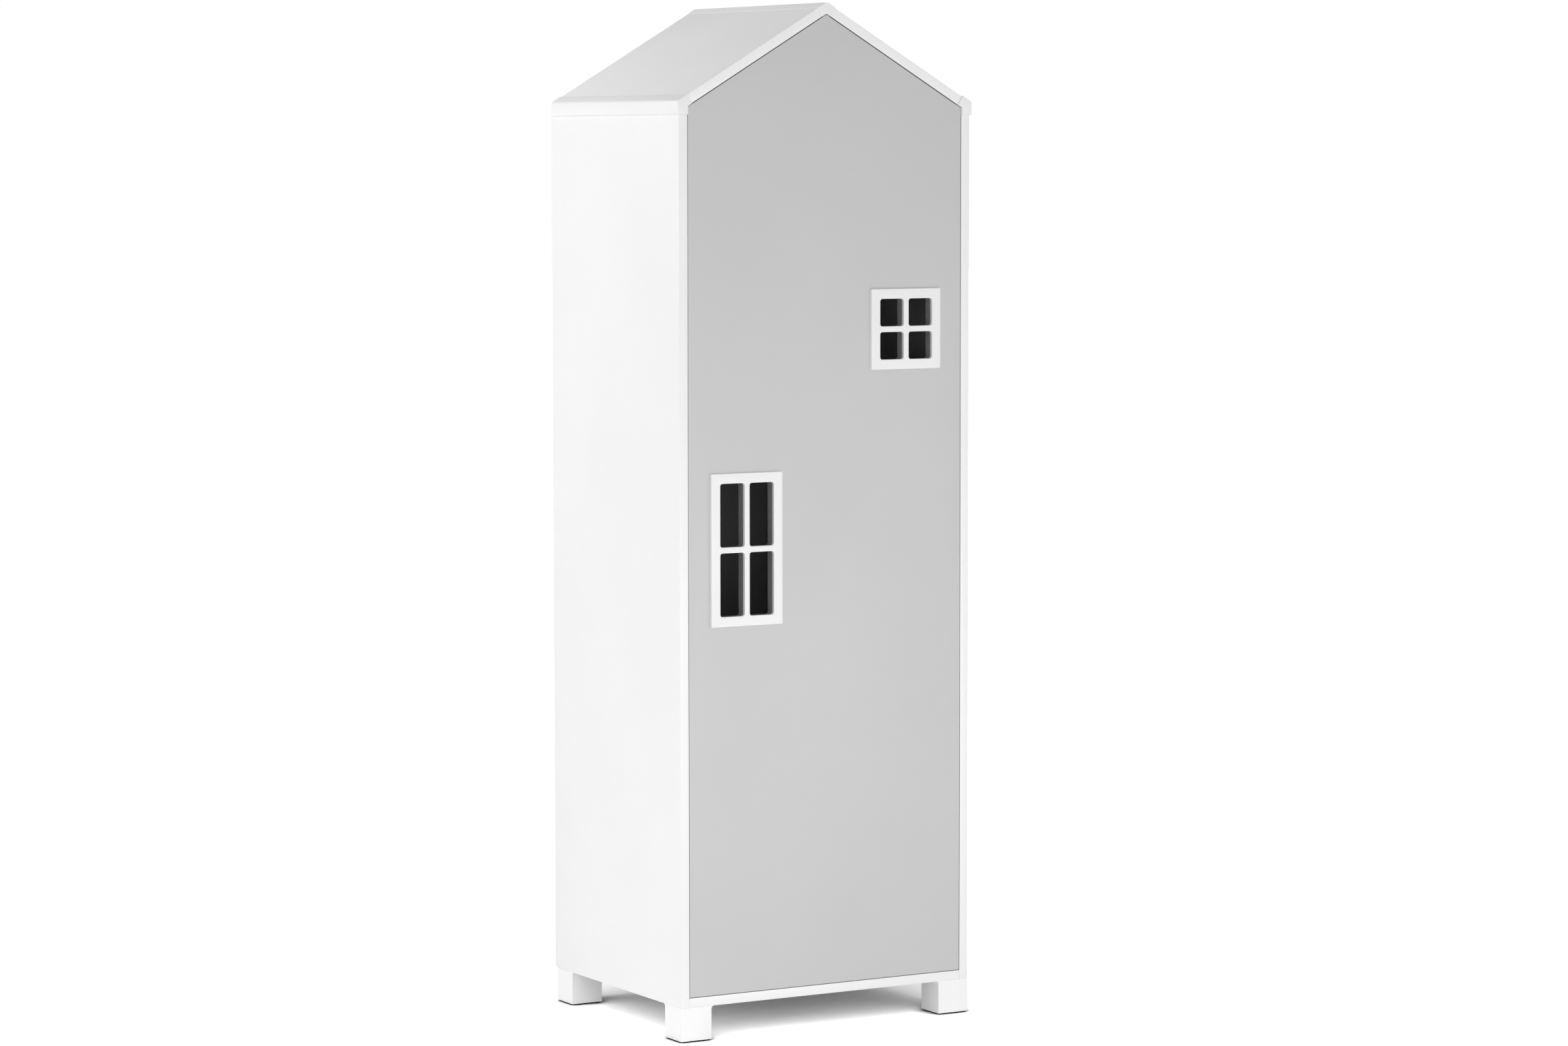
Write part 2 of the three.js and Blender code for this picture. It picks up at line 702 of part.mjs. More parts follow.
function paneCut(pane) {
  const width = pane.width + 2 * paneReveal;
  const height = pane.height + 2 * paneReveal;
  const outline = roundedRectangle(new THREE.Shape(), pane.x, pane.z, width, height, paneRadius + paneReveal);
  return pulledBack(outline, frontY - cutOverrun, doorThickness + 2 * cutOverrun);
}

function doorPanel() {
  const topPlane = -(boardThickness + doorRoofGap);
  const shoulderZ = slopeZ(doorEdgeX, topPlane);
  const outline = polygon([
    new THREE.Vector2(-doorEdgeX, doorBottomZ),
    new THREE.Vector2(doorEdgeX, doorBottomZ),
    new THREE.Vector2(doorEdgeX, shoulderZ),
    new THREE.Vector2(0, slopeZ(0, topPlane)),
    new THREE.Vector2(-doorEdgeX, shoulderZ),
  ]);
  const bevel = {
    bevelEnabled: true,
    bevelThickness: doorEdgeBevel,
    bevelSize: doorEdgeBevel,
    bevelOffset: -doorEdgeBevel,
    bevelSegments: 1,
  };
  const core = doorThickness - 2 * doorEdgeBevel;
  const board = pulledBack(outline, frontY + doorEdgeBevel, core, bevel);
  const casePockets = hingeHeights.flatMap((z) => casePocket(-1, z));
  return cut(board, [...windows.flatMap(panesOf).map(paneCut), ...casePockets]);
}

addInPlace('door_panel', doorPanel(), greyLacquer(), [doorAxisX, frontY, doorBottomZ]);

for (const window of windows) {
  const { name, x, z, height } = window;
  const outline = roundedRectangle(new THREE.Shape(), x, z, frameWidth, height, frameCornerRadius);
  outline.holes = panesOf(window).map((pane) =>
    roundedRectangle(new THREE.Path(), pane.x, pane.z, pane.width, pane.height, paneRadius));
  const frame = pulledBack(outline, frontY - frameThickness, frameThickness);
  addInPlace(name, frame, whiteLacquer(), [x, frontY, z]);
}

// Magnetic catch under the shelf, and a stop with a bumper on the floor

const catchX = -(innerX - catchInset);
const stopX = -(innerX - stopInset);
const strikeBackY = doorBackY + strikeThickness;
const catchZ = shelfUndersideZ - catchHeight / 2;
const catchLow = [catchX - catchWidth / 2, strikeBackY + seatGap, shelfUndersideZ - catchHeight];
const catchHigh = [catchX + catchWidth / 2, shelfFrontY + catchSeat, shelfUndersideZ];
const catchBlock = blockBetween(catchLow, catchHigh);
addInPlace('magnetic_catch', catchBlock, whitePlastic(), [catchX, shelfFrontY, catchZ]);

const strike = new THREE.BoxGeometry(strikeWidth, strikeThickness, strikeHeight);
add('strike_plate', strike, zinc(), [catchX, doorBackY + strikeThickness / 2, catchZ]);

const stopFrontY = doorBackY + bumperThickness + seatGap;
const stopLow = [stopX - stopWidth / 2, stopFrontY, floorTopZ];
const stopHigh = [stopX + stopWidth / 2, stopFrontY + stopThickness, floorTopZ + stopHeight];
addInPlace('door_stop', blockBetween(stopLow, stopHigh), whitePlastic(), [stopX, stopFrontY, floorTopZ]);

const bumper = rod(bumperRadius, 0, bumperThickness).rotateX(-Math.PI / 2);
add('stop_bumper', bumper, rubber(), [stopX, doorBackY, floorTopZ + stopHeight / 2]);

export default model;
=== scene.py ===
# %% [markdown]
# # A child's house-shaped wardrobe
#
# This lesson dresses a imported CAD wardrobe: white melamine-faced boards, white lacquered corner profiles,
# feet and window frames, and one grey lacquered door. The CAD frame gives sizes and places in metres, with
# the front towards -Y. Apart from the cam fittings, each piece is modelled as by hand, from a primitive at
# its own size and place.

# %% The frame
import json
from math import atan2, cos, degrees, hypot, pi, radians, sin, tan

import bpy
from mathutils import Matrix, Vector


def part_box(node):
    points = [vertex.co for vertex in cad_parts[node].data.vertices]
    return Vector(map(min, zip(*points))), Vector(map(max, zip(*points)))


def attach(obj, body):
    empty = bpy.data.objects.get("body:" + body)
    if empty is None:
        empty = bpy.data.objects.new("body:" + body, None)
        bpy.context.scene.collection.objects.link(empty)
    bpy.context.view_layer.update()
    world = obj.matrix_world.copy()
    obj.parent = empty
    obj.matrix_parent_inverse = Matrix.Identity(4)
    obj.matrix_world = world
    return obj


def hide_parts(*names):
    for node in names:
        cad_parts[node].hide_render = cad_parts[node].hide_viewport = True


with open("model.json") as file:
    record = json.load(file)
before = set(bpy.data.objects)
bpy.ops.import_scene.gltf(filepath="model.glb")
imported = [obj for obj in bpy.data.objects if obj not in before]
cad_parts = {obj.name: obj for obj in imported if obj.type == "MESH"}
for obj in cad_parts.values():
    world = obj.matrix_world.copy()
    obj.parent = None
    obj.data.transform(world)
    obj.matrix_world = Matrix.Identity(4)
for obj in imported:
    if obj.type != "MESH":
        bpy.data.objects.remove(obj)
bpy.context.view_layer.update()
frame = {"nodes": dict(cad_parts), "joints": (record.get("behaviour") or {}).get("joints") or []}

# %% [markdown]
# ## The camera
#
# The photograph was taken with a long lens from about 7.9 m away, 30 degrees to the left of the front and a
# little below the eaves. Such a distance keeps upright edges nearly parallel. The place, the turn and the
# lens were solved from the straight edges in the photograph, so the camera is simply put there.

# %% Camera
sensor_width = 36.0
picture_width, lens_in_pixels = 2351, 6924.06
lens = bpy.data.cameras.new("long_lens")
lens.sensor_width = sensor_width
lens.lens = lens_in_pixels / picture_width * sensor_width
camera = bpy.data.objects.new("camera", lens)
camera.location = (-3.9068, -6.8608, 1.4850)
camera.rotation_euler = (radians(85.3166), radians(0.0497), radians(-29.9605))
bpy.context.scene.collection.objects.link(camera)
bpy.context.scene.camera = camera
print("Lens:", round(lens.lens, 2), "mm")

# %% [markdown]
# ## Colours and nodes
#
# Colours are picked on a screen, as sRGB hex values, while the renderer adds up light in linear values, so
# one function turns the first into the second. A second one adds a node with its settings and links. Every
# finish of the wardrobe is built from these two and one Principled shader.

# %% Colour and node helpers
def linear(hex_colour):
    """A screen colour such as "#c7c7c7" as linear red, green, blue and alpha."""
    values = [int(hex_colour[i:i + 2], 16) / 255 for i in (1, 3, 5)]
    return [v / 12.92 if v <= 0.04045 else ((v + 0.055) / 1.055) ** 2.4 for v in values] + [1.0]


def add_node(tree, kind, settings=None, links=None):
    """Adds a node, sets its properties or sockets by name, and links outputs into its sockets."""
    node = tree.nodes.new("ShaderNode" + kind)
    for name, value in (settings or {}).items():
        if isinstance(name, int) or name in node.inputs:
            node.inputs[name].default_value = value
        else:
            setattr(node, name, value)
    for name, output in (links or {}).items():
        tree.links.new(output, node.inputs[name])
    return node


def new_finish(name, colour, roughness, ior=1.5, metallic=0.0):
    """A material with one Principled shader. A metal keeps the shader's own IOR."""
    material = bpy.data.materials.new(name)
    material.use_nodes = True
    shader = material.node_tree.nodes["Principled BSDF"]
    shader.inputs["Base Color"].default_value = linear(colour)
    shader.inputs["Roughness"].default_value = roughness
    shader.inputs["Metallic"].default_value = metallic
    if metallic == 0.0:
        shader.inputs["IOR"].default_value = ior
    return material, material.node_tree, shader


def place_of(tree):
    """The point on the piece in metres, which is also the point in the wardrobe."""
    return add_node(tree, "TexCoord").outputs["Object"]


# %% [markdown]
# ## A surface made of fine grain
#
# All the painted and pressed surfaces here have three things in common: a colour that drifts a little over a
# hand's width, a sheen that varies over a few millimetres, and a fine relief. The function below gives a
# finish those three from real sizes in metres. A noise texture's scale is one over the size of its bumps, and
# nearly all its values lie between 0.3 and 0.7. Pieces carry an attribute, edge, which is 1 on their rounded
# edges, where handling and cleaning have polished the surface.

# %% Grained finish
noise_span = {"From Min": 0.3, "From Max": 0.7}
edge_polish = 0.08


def grained(name, colour, roughness, colours, drift, sheen, sheen_size, relief, relief_size, ior=1.5):
    """A finish with colour drift, uneven sheen, relief and polished edges."""
    material, tree, shader = new_finish(name, colour, roughness, ior)
    place = place_of(tree)
    slow = add_node(tree, "TexNoise", {"Scale": 1 / drift, "Detail": 2.0, "Roughness": 0.5},
                    {"Vector": place})
    spread = add_node(tree, "MapRange", noise_span, {"Value": slow.outputs["Fac"]})
    edge = add_node(tree, "Attribute", {"attribute_name": "edge"})
    tint = add_node(tree, "Mix", {"data_type": "RGBA", 6: linear(colours[0]), 7: linear(colours[1])},
                    {0: spread.outputs["Result"]})
    tree.links.new(tint.outputs[2], shader.inputs["Base Color"])
    patches = add_node(tree, "TexNoise", {"Scale": 1 / sheen_size, "Detail": 3.0, "Roughness": 0.6},
                       {"Vector": place})
    rough = add_node(tree, "MapRange", {**noise_span, "To Min": sheen[0], "To Max": sheen[1]},
                     {"Value": patches.outputs["Fac"]})
    polished = add_node(tree, "Math", {"operation": "MULTIPLY_ADD", 1: -edge_polish},
                        {0: edge.outputs["Fac"], 2: rough.outputs["Result"]})
    tree.links.new(polished.outputs["Value"], shader.inputs["Roughness"])
    fine = add_node(tree, "TexNoise", {"Scale": 1 / relief_size, "Detail": 2.0, "Roughness": 0.5},
                    {"Vector": place})
    bump = add_node(tree, "Bump", {"Strength": 1.0, "Distance": relief}, {"Height": fine.outputs["Fac"]})
    tree.links.new(bump.outputs["Normal"], shader.inputs["Normal"])
    return material


# %% [markdown]
# ## White melamine board
#
# The boards are chipboard faced with paper soaked in melamine resin and pressed against a steel plate with a
# pearl grain. The eye sees a hard, even satin white. The real grain is about 0.5 mm wide, which the picture
# can't show, so it is drawn at 1.5 mm. The edges are covered with a 0.5 mm plastic band in the same white,
# smoother and a little brighter than the face. The faces that look into the cabinet are a light grey, which
# is painted shade: the photograph shows them almost black through the panes, where white walls would be
# much brighter.

# %% Board materials
pearl_grain = {"drift": 0.22, "sheen_size": 0.012, "relief": 0.00002, "relief_size": 0.0015, "ior": 1.55}
white_board = grained("white_melamine_board", "#f3f3f3", 0.44, ("#f4f4f4", "#f1f1f1"),
                      sheen=(0.40, 0.48), **pearl_grain)
# The grey of the inner faces is painted shade, for the dark inside seen through the panes.
grey_board_painted_shade = grained("grey_melamine_painted_shade_inside", "#a6a6a6", 0.46, ("#a8a8a8", "#a3a3a3"),
                     sheen=(0.42, 0.50), **pearl_grain)
white_edge = grained("white_edge_band", "#f4f4f4", 0.34, ("#f5f5f5", "#f2f2f2"), drift=0.30,
                     sheen=(0.30, 0.38), sheen_size=0.02, relief=0.00001, relief_size=0.004, ior=1.52)

# %% [markdown]
# ## Lacquer on fibreboard
#
# The door, frames, profiles and feet are fine fibreboard with a sprayed lacquer. Droplets that flow together
# leave a very shallow skin like that of an orange, with waves 2 to 4 mm long. The door is a neutral grey and
# the trim a white, a little brighter on the feet, which is painted light. Where a cutter has opened the
# door's core, at the panes, the walls are darker, which is painted shade, and rougher than the face.

# %% Lacquer materials
grey_lacquer = grained("grey_lacquer", "#c7c7c7", 0.45, ("#c8c8c8", "#c6c6c6"), drift=0.25,
                       sheen=(0.42, 0.50), sheen_size=0.015, relief=0.00003, relief_size=0.003)
# The darker grey of the panes' walls is painted shade.
pane_wall_painted_shade = grained("grey_lacquer_painted_shade_in_panes", "#868686", 0.62, ("#8c8c8c", "#808080"), drift=0.01,
                   sheen=(0.58, 0.70), sheen_size=0.004, relief=0.00008, relief_size=0.0012)
white_lacquer = grained("white_lacquer", "#f0f0f0", 0.40, ("#f1f1f1", "#eeeeee"), drift=0.18,
                        sheen=(0.36, 0.44), sheen_size=0.012, relief=0.00003, relief_size=0.003)
# The feet's white is brighter than the trim's, which is painted light.
foot_lacquer_painted_light = grained("white_foot_lacquer_painted_light", "#fafafa", 0.42, ("#fbfbfb", "#f8f8f8"), drift=0.08,
                       sheen=(0.38, 0.46), sheen_size=0.010, relief=0.00004, relief_size=0.003)

# %% [markdown]
# ## Hardboard back
#
# The back is a thin hardboard, pressed from wood fibre on a wire screen and painted the grey of the
# boards' inner faces, a grey that on its inner face is painted shade. Its inner face is smooth. Its rear
# face keeps the screen's print, a net of small pits about 1.3 mm apart, drawn here at 2.6 mm so that it
# shows. Two crossed wave textures give that net. A wave texture repeats every pi / 10 at a scale of one.

# %% Hardboard materials
# The back's inner face has the same grey, which is painted shade.
back_inside_painted_shade = grained("grey_hardboard_painted_shade", "#a6a6a6", 0.55, ("#a9a9a9", "#a2a2a2"), drift=0.12,
                      sheen=(0.50, 0.60), sheen_size=0.01, relief=0.00003, relief_size=0.001)
back_rear = grained("hardboard_screen_side", "#a0a0a0", 0.75, ("#a7a7a7", "#989898"), drift=0.06,
                    sheen=(0.70, 0.82), sheen_size=0.006, relief=0.00003, relief_size=0.001)
screen_pitch, screen_depth = 0.0026, 0.0002
tree = back_rear.node_tree
place = place_of(tree)
along, across = (add_node(tree, "TexWave", {"bands_direction": axis, "Scale": pi / 10 / screen_pitch},
                          {"Vector": place}) for axis in "XZ")
net = add_node(tree, "Math", {"operation": "MAXIMUM"}, {0: along.outputs["Fac"], 1: across.outputs["Fac"]})
print_relief = add_node(tree, "Bump", {"Strength": 1.0, "Distance": screen_depth},
                        {"Height": net.outputs["Value"], "Normal": tree.nodes["Bump"].outputs["Normal"]})
tree.links.new(print_relief.outputs["Normal"], tree.nodes["Principled BSDF"].inputs["Normal"])

# %% [markdown]
# ## Metals
#
# Five metals are inside. The rail is steel tube with bright chrome, the cams and sockets are die-cast zinc
# with a mottled skin, the foot bolts, screws, shelf pins and strike plate are steel with bright zinc plating,
# the hinge cases are nickel plated, and the hinge links and cam bolts are ground steel. Noise stretched along
# a piece gives drawn lines, and round noise gives the mottling of a casting.

# %% Metal materials
skin_depth = 0.00001


def metal(name, colours, sheen, mottle, stretch=(1, 1, 1)):
    """A metal with patches of uneven shine, stretched where the piece was drawn or brushed."""
    material, tree, shader = new_finish(name, colours[0], sheen[0], metallic=1.0)
    turn = add_node(tree, "Mapping", {"Scale": stretch}, {"Vector": place_of(tree)})
    patches = add_node(tree, "TexNoise", {"Scale": 1 / mottle, "Detail": 4.0},
                       {"Vector": turn.outputs["Vector"]})
    tint = add_node(tree, "Mix", {"data_type": "RGBA", 6: linear(colours[0]), 7: linear(colours[1])},
                    {0: patches.outputs["Fac"]})
    tree.links.new(tint.outputs[2], shader.inputs["Base Color"])
    rough = add_node(tree, "MapRange", {"To Min": sheen[0], "To Max": sheen[1]},
                     {"Value": patches.outputs["Fac"]})
    tree.links.new(rough.outputs["Result"], shader.inputs["Roughness"])
    bump = add_node(tree, "Bump", {"Strength": 1.0, "Distance": skin_depth},
                    {"Height": patches.outputs["Fac"]})
    tree.links.new(bump.outputs["Normal"], shader.inputs["Normal"])
    return material


chrome = metal("chromed_steel", ("#d2d4d6", "#c6c8ca"), (0.10, 0.22), mottle=0.003, stretch=(0.05, 1, 1))
cast_zinc = metal("die_cast_zinc", ("#a6a9aa", "#94979a"), (0.38, 0.58), mottle=0.0015)
plated_steel = metal("zinc_plated_steel", ("#b4b7ba", "#9fa3a6"), (0.28, 0.45), mottle=0.001)
nickel = metal("nickel_plate", ("#c0c2c0", "#b2b4b2"), (0.20, 0.34), mottle=0.002)
pin_steel = metal("ground_steel", ("#9a9da0", "#888b8e"), (0.25, 0.40), mottle=0.001, stretch=(1, 1, 0.1))

# %% [markdown]
# ## Plastics and rubber
#
# The catch and the door stop are moulded ABS with a spark-eroded texture, the glides are grey polyethylene,
# which looks waxy, and the bumper is soft rubber, dull and dark.

# %% Plastic materials
white_plastic = grained("moulded_abs", "#e6e6e3", 0.48, ("#e8e8e5", "#e3e3e0"), drift=0.05,
                        sheen=(0.44, 0.54), sheen_size=0.004, relief=0.00004, relief_size=0.0008, ior=1.54)
glide_plastic = grained("grey_polyethylene", "#8c8c8a", 0.55, ("#929290", "#858583"), drift=0.01,
                        sheen=(0.48, 0.64), sheen_size=0.003, relief=0.00005, relief_size=0.0009, ior=1.51)
rubber = grained("dark_rubber", "#5a5a58", 0.82, ("#5e5e5c", "#545452"), drift=0.004,
                 sheen=(0.76, 0.88), sheen_size=0.001, relief=0.00003, relief_size=0.0006, ior=1.52)

# %% [markdown]
# ## Tools for modelling
#
# A few small tools do most of the work. primitive adds one of Blender's own shapes, and block a cube at a
# board's size and place. pick selects vertices, edges or faces in code, by their place, and leaves the piece
# in edit mode. bevel rounds what is picked, and extrude and cross_cut do what their names say. done gives the
# piece its shading, its finish, its rounded-edge attribute and its body in the frame.

# %% Modelling helpers
def only(piece):
    """Selects one piece alone and makes it the active one."""
    bpy.ops.object.select_all(action="DESELECT")
    piece.select_set(True)
    bpy.context.view_layer.objects.active = piece


def leave():
    bpy.ops.object.mode_set(mode="OBJECT")


def settle():
    """Applies the active piece's place, turn and size to its mesh, so that its object lies at the origin."""
    bpy.ops.object.transform_apply(location=True, rotation=True, scale=True)


def primitive(add, name, scale=(1, 1, 1), **settings):
    """Adds a primitive at its size and place, with nothing else selected."""
    bpy.ops.object.select_all(action="DESELECT")
    add(**settings)
    piece = bpy.context.object
    piece.name = name
    piece.scale = scale
    settle()
    return piece


def block(name, low, high, turn=0.0):
    """A cube primitive from one corner to the other, turned about the Y axis through its middle."""
    low, high = Vector(low), Vector(high)
    return primitive(bpy.ops.mesh.primitive_cube_add, name, size=1, location=(low + high) / 2,
                     rotation=(0, turn, 0), scale=high - low)


def pick(piece, select, test):
    """Selects what passes a test on a vertex's place, an edge's two ends, or a face's centre and normal."""
    if bpy.context.object and bpy.context.object.mode == "EDIT":
        leave()
    only(piece)
    mesh = piece.data
    for parts in (mesh.vertices, mesh.edges, mesh.polygons):
        parts.foreach_set("select", [False] * len(parts))
    bpy.context.tool_settings.mesh_select_mode = (select == "VERT", select == "EDGE", select == "FACE")
    if select == "VERT":
        for vertex in mesh.vertices:
            vertex.select = test(vertex.co)
    elif select == "EDGE":
        for side in mesh.edges:
            side.select = test(*(mesh.vertices[i].co for i in side.vertices))
    else:
        for face in mesh.polygons:
            face.select = test(face.center, face.normal)
    bpy.ops.object.mode_set(mode="EDIT")


def pick_all(piece):
    pick(piece, "FACE", lambda centre, normal: True)


def bevel(offset, segments=3):
    """Rounds the picked edges and leaves edit mode."""
    bpy.ops.mesh.bevel(offset=offset, segments=segments, affect="EDGES", profile=0.5, clamp_overlap=False)
    leave()


def extrude(shift):
    """Extrudes the picked faces, moves the new ones and stays in edit mode."""
    bpy.ops.mesh.extrude_region_move(TRANSFORM_OT_translate={"value": shift})


def shoulder(narrower, rise):
    """Insets the picked end face and moves it along Z, as on a turned piece."""
    bpy.ops.mesh.inset(thickness=narrower)
    extrude((0, 0, rise))


def cross_cut(piece, height):
    """Cuts the piece's faces along a level plane, and keeps both parts."""
    pick_all(piece)
    bpy.ops.mesh.bisect(plane_co=(0, 0, height), plane_no=(0, 0, 1))
    leave()


def face_outwards(piece):
    pick_all(piece)
    bpy.ops.mesh.normals_make_consistent(inside=False)
    leave()


# %% [markdown]
# Places are compared with a limit of 0.05 mm. A sharp edge is one where two faces meet at more than 60
# degrees. After a change to the mesh it is found again by its middle, in whole micrometres. A face looks
# along an axis where that part of its normal is over 0.9.

# %% Finding edges and faces
micrometre = 1e-6
straight_on = 0.9


def near(a, b, limit=50 * micrometre):
    return abs(a - b) < limit


def spot(a, b):
    """The middle of an edge as whole micrometres, to find the edge again."""
    return tuple(round(v / micrometre) for v in (a + b) / 2)


def sharp_edges(piece, limit=60):
    """The middles of all edges where two faces meet at more than this angle."""
    mesh = piece.data
    faces = {}
    for face in mesh.polygons:
        for key in face.edge_keys:
            faces.setdefault(key, []).append(face.normal)
    found = set()
    for (a, b), normals in faces.items():
        if len(normals) == 2 and normals[0].angle(normals[1]) > radians(limit):
            found.add(spot(mesh.vertices[a].co, mesh.vertices[b].co))
    return found


def pick_sharp(piece, test=lambda a, b: True):
    """Selects the sharp edges that pass the test."""
    sharp = sharp_edges(piece)
    pick(piece, "EDGE", lambda a, b: spot(a, b) in sharp and test(a, b))


def in_plane(axis, value):
    """A test for an edge that lies in the plane at this X (axis 0), Y (1) or Z (2)."""
    return lambda a, b: near(a[axis], value) and near(b[axis], value)


least_length = 0.005


def front_to_back(a, b):
    """True for an edge that runs through a board's thickness, from front to back."""
    return not near(a.y, b.y, least_length)


# %% [markdown]
# A finished piece has smooth shading up to 32 degrees. A face counts as a rounded edge where it is narrower
# than 0.5 mm.

# %% Finishing, cutting and copying
smooth_angle, narrow_face = radians(32), 0.0005


def done(piece, body, materials, node, chosen=None):
    """Finishes a piece: chosen(face) gives the number of a face's material where there are several."""
    if piece.mode == "EDIT":
        leave()
    only(piece)
    bpy.ops.object.shade_smooth_by_angle(angle=smooth_angle)
    mesh = piece.data
    mesh.materials.clear()
    for material in materials:
        mesh.materials.append(material)
    edge = mesh.attributes.new("edge", "FLOAT", "FACE")
    for face in mesh.polygons:
        around = sum((mesh.vertices[a].co - mesh.vertices[b].co).length for a, b in face.edge_keys)
        edge.data[face.index].value = 1.0 if 2 * face.area / around < narrow_face else 0.0
        if chosen:
            face.material_index = chosen(face)
    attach(piece, body)
    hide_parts(node)
    low = [round(min(v.co[i] for v in mesh.vertices) * 1000, 1) for i in range(3)]
    high = [round(max(v.co[i] for v in mesh.vertices) * 1000, 1) for i in range(3)]
    print(f"{piece.name}: {len(mesh.polygons)} faces, {low} to {high} mm")


def cut_out(piece, cutters):
    """Takes the cutters out of the piece with a boolean modifier, as a router would, and removes them."""
    bpy.ops.object.select_all(action="DESELECT")
    for cutter in cutters:
        cutter.select_set(True)
    bpy.context.view_layer.objects.active = cutters[0]
    if len(cutters) > 1:
        bpy.ops.object.join()
    tool = bpy.context.object
    only(piece)
    cut = piece.modifiers.new("cut", "BOOLEAN")
    cut.operation = "DIFFERENCE"
    cut.solver = "EXACT"
    cut.object = tool
    bpy.ops.object.modifier_apply(modifier=cut.name)
    bpy.data.objects.remove(tool)


def placed(piece, name, place=(0, 0, 0), turn=0.0):
    """A copy with its own mesh, turned about the Y axis through the origin and moved to its place."""
    only(piece)
    bpy.ops.object.duplicate(linked=False)
    twin = bpy.context.object
    twin.name = name
    twin.rotation_euler.y = turn
    twin.location = place
    settle()
    return twin


def fitted(model, ending, place, turn, body, finish, node):
    """A copy of a turned piece, placed and finished, which is named for its node and this ending."""
    done(placed(model, f"{node}_{ending}", place, turn), body, [finish], node)


def mirrored(piece, name, axis=0):
    """A mirror-image copy across the wardrobe's middle, with its faces turned outwards again."""
    twin = placed(piece, name)
    twin.scale[axis] = -1
    settle()
    face_outwards(twin)
    return twin


# %% [markdown]
# ## The house's lines
#
# Everything follows from the carcass front, the side boards' faces and the slope of the roof. on_slope gives
# a point some way up the slope from the eave and some way out of the boards' outer face, and slope_height
# gives the height of any plane parallel to the roof.

# %% Lines of the house
side_low, side_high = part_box("side_panel_right")
front_y, inner_x, half_width = side_low.y, side_low.x, side_high.x
rear_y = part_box("floor_panel")[1].y
base_z, floor_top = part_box("floor_panel")[0].z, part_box("floor_panel")[1].z
seam_z = side_high.z
board = half_width - inner_x
ridge_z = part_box("ridge_corner")[1].z
roof_rise = 0.163
eave_z = ridge_z - roof_rise
pitch = atan2(roof_rise, half_width)
slope_length = hypot(half_width, roof_rise)
eave_leg, ridge_leg = 0.0177, 0.0195
side_proud, slope_proud, ridge_proud = 0.0026, 0.0012, 0.0008


def on_slope(up, out):
    x = half_width - up * cos(pitch) + out * sin(pitch)
    return x, eave_z + up * sin(pitch) + out * cos(pitch)


def slope_height(x, out):
    return ridge_z - abs(x) * tan(pitch) + out / cos(pitch)


print("Pitch:", round(degrees(pitch), 2), "degrees, eaves at", round(eave_z * 1000, 1), "mm")

# %% [markdown]
# ## The boards
#
# A board is a sawn rectangle whose edges got a plastic band, trimmed with a small radius. So each one is a
# block with all its edges rounded by 0.6 mm, in three steps. Its narrow faces get the edge band's finish, and
# the face that looks into the cabinet gets the light grey, which is painted shade. The right side also has
# three pockets routed for the hinges, each 0.3 mm larger than the hinge's case.

# %% Side boards
band_radius, pocket_room = 0.0006, 0.0003


def round_edges(piece, offset=band_radius):
    pick(piece, "EDGE", lambda a, b: True)
    bevel(offset)


board_finishes = [white_board, grey_board_painted_shade, white_edge]


def board_faces(axis, inward):
    """Chooses white outside, the painted-shade grey inside, and the band on a board's edges."""
    def choose(face):
        along = face.normal[axis] * inward
        return 2 if abs(along) < straight_on else int(along > 0)
    return choose


def pocket(node):
    low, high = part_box(node)
    room = Vector((pocket_room, pocket_room, pocket_room))
    return block("pocket", low - room, high + room)


hinge_numbers = (1, 2, 3)
for name in ("side_panel_left", "side_panel_right"):
    low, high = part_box(name)
    side = block(name + "_board", low, high)
    round_edges(side)
    if name.endswith("right"):
        cut_out(side, [pocket(f"hinge_case_side_{n}") for n in hinge_numbers])
    done(side, "carcass", board_finishes, name, board_faces(0, -1 if low.x > 0 else 1))

# %% [markdown]
# ## The floor board
#
# The floor board carries the sides on cam fittings, and the feet hang from it on countersunk bolts. From
# above one sees the four bolt heads in their conical seats, and from below the four cams in round pockets.
# The cutters are a cone for a seat, which stands a little above the face, and a cylinder for a pocket.

# %% Floor board
def round_block(name, radius, low_z, high_z, x=0, y=0, top_radius=None, steps=32):
    """A cylinder or a cone that stands upright, from one height to another."""
    return primitive(bpy.ops.mesh.primitive_cone_add, name, vertices=steps, radius1=radius,
                     radius2=top_radius or radius, depth=high_z - low_z,
                     location=(x, y, (low_z + high_z) / 2))


def middle(node):
    low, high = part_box(node)
    return (low + high) / 2


corners = [f"{end}_{side}" for end in ("front", "rear") for side in ("left", "right")]
overrun, seat_lip = 0.001, 0.0002
bolt_bore, bolt_seat_radius, bolt_seat_depth = 0.0043, 0.0085, 0.004
cam_pocket_radius, cam_pocket_depth = 0.0078, 0.0123
low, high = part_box("floor_panel")
floor_board = block("floor_board", low, high)
round_edges(floor_board)
cutters = []
for corner in corners:
    bolt = middle(f"foot_bolt_{corner}")
    cutters.append(round_block("seat", bolt_bore, floor_top - bolt_seat_depth, floor_top + seat_lip,
                               bolt.x, bolt.y, bolt_seat_radius))
    cam = middle(f"cam_{corner}")
    cutters.append(round_block("cam_pocket", cam_pocket_radius, base_z - overrun, base_z + cam_pocket_depth,
                               cam.x, cam.y))
cut_out(floor_board, cutters)
done(floor_board, "carcass", board_finishes, "floor_panel", board_faces(2, 1))

# %% [markdown]
# ## The roof boards
#
# A roof board lies on the slope between the eave profile and the ridge profile, with a fine seam at each. It
# is a block turned by the roof's pitch, with its edges rounded by only 0.3 mm, because the seams hardly show.

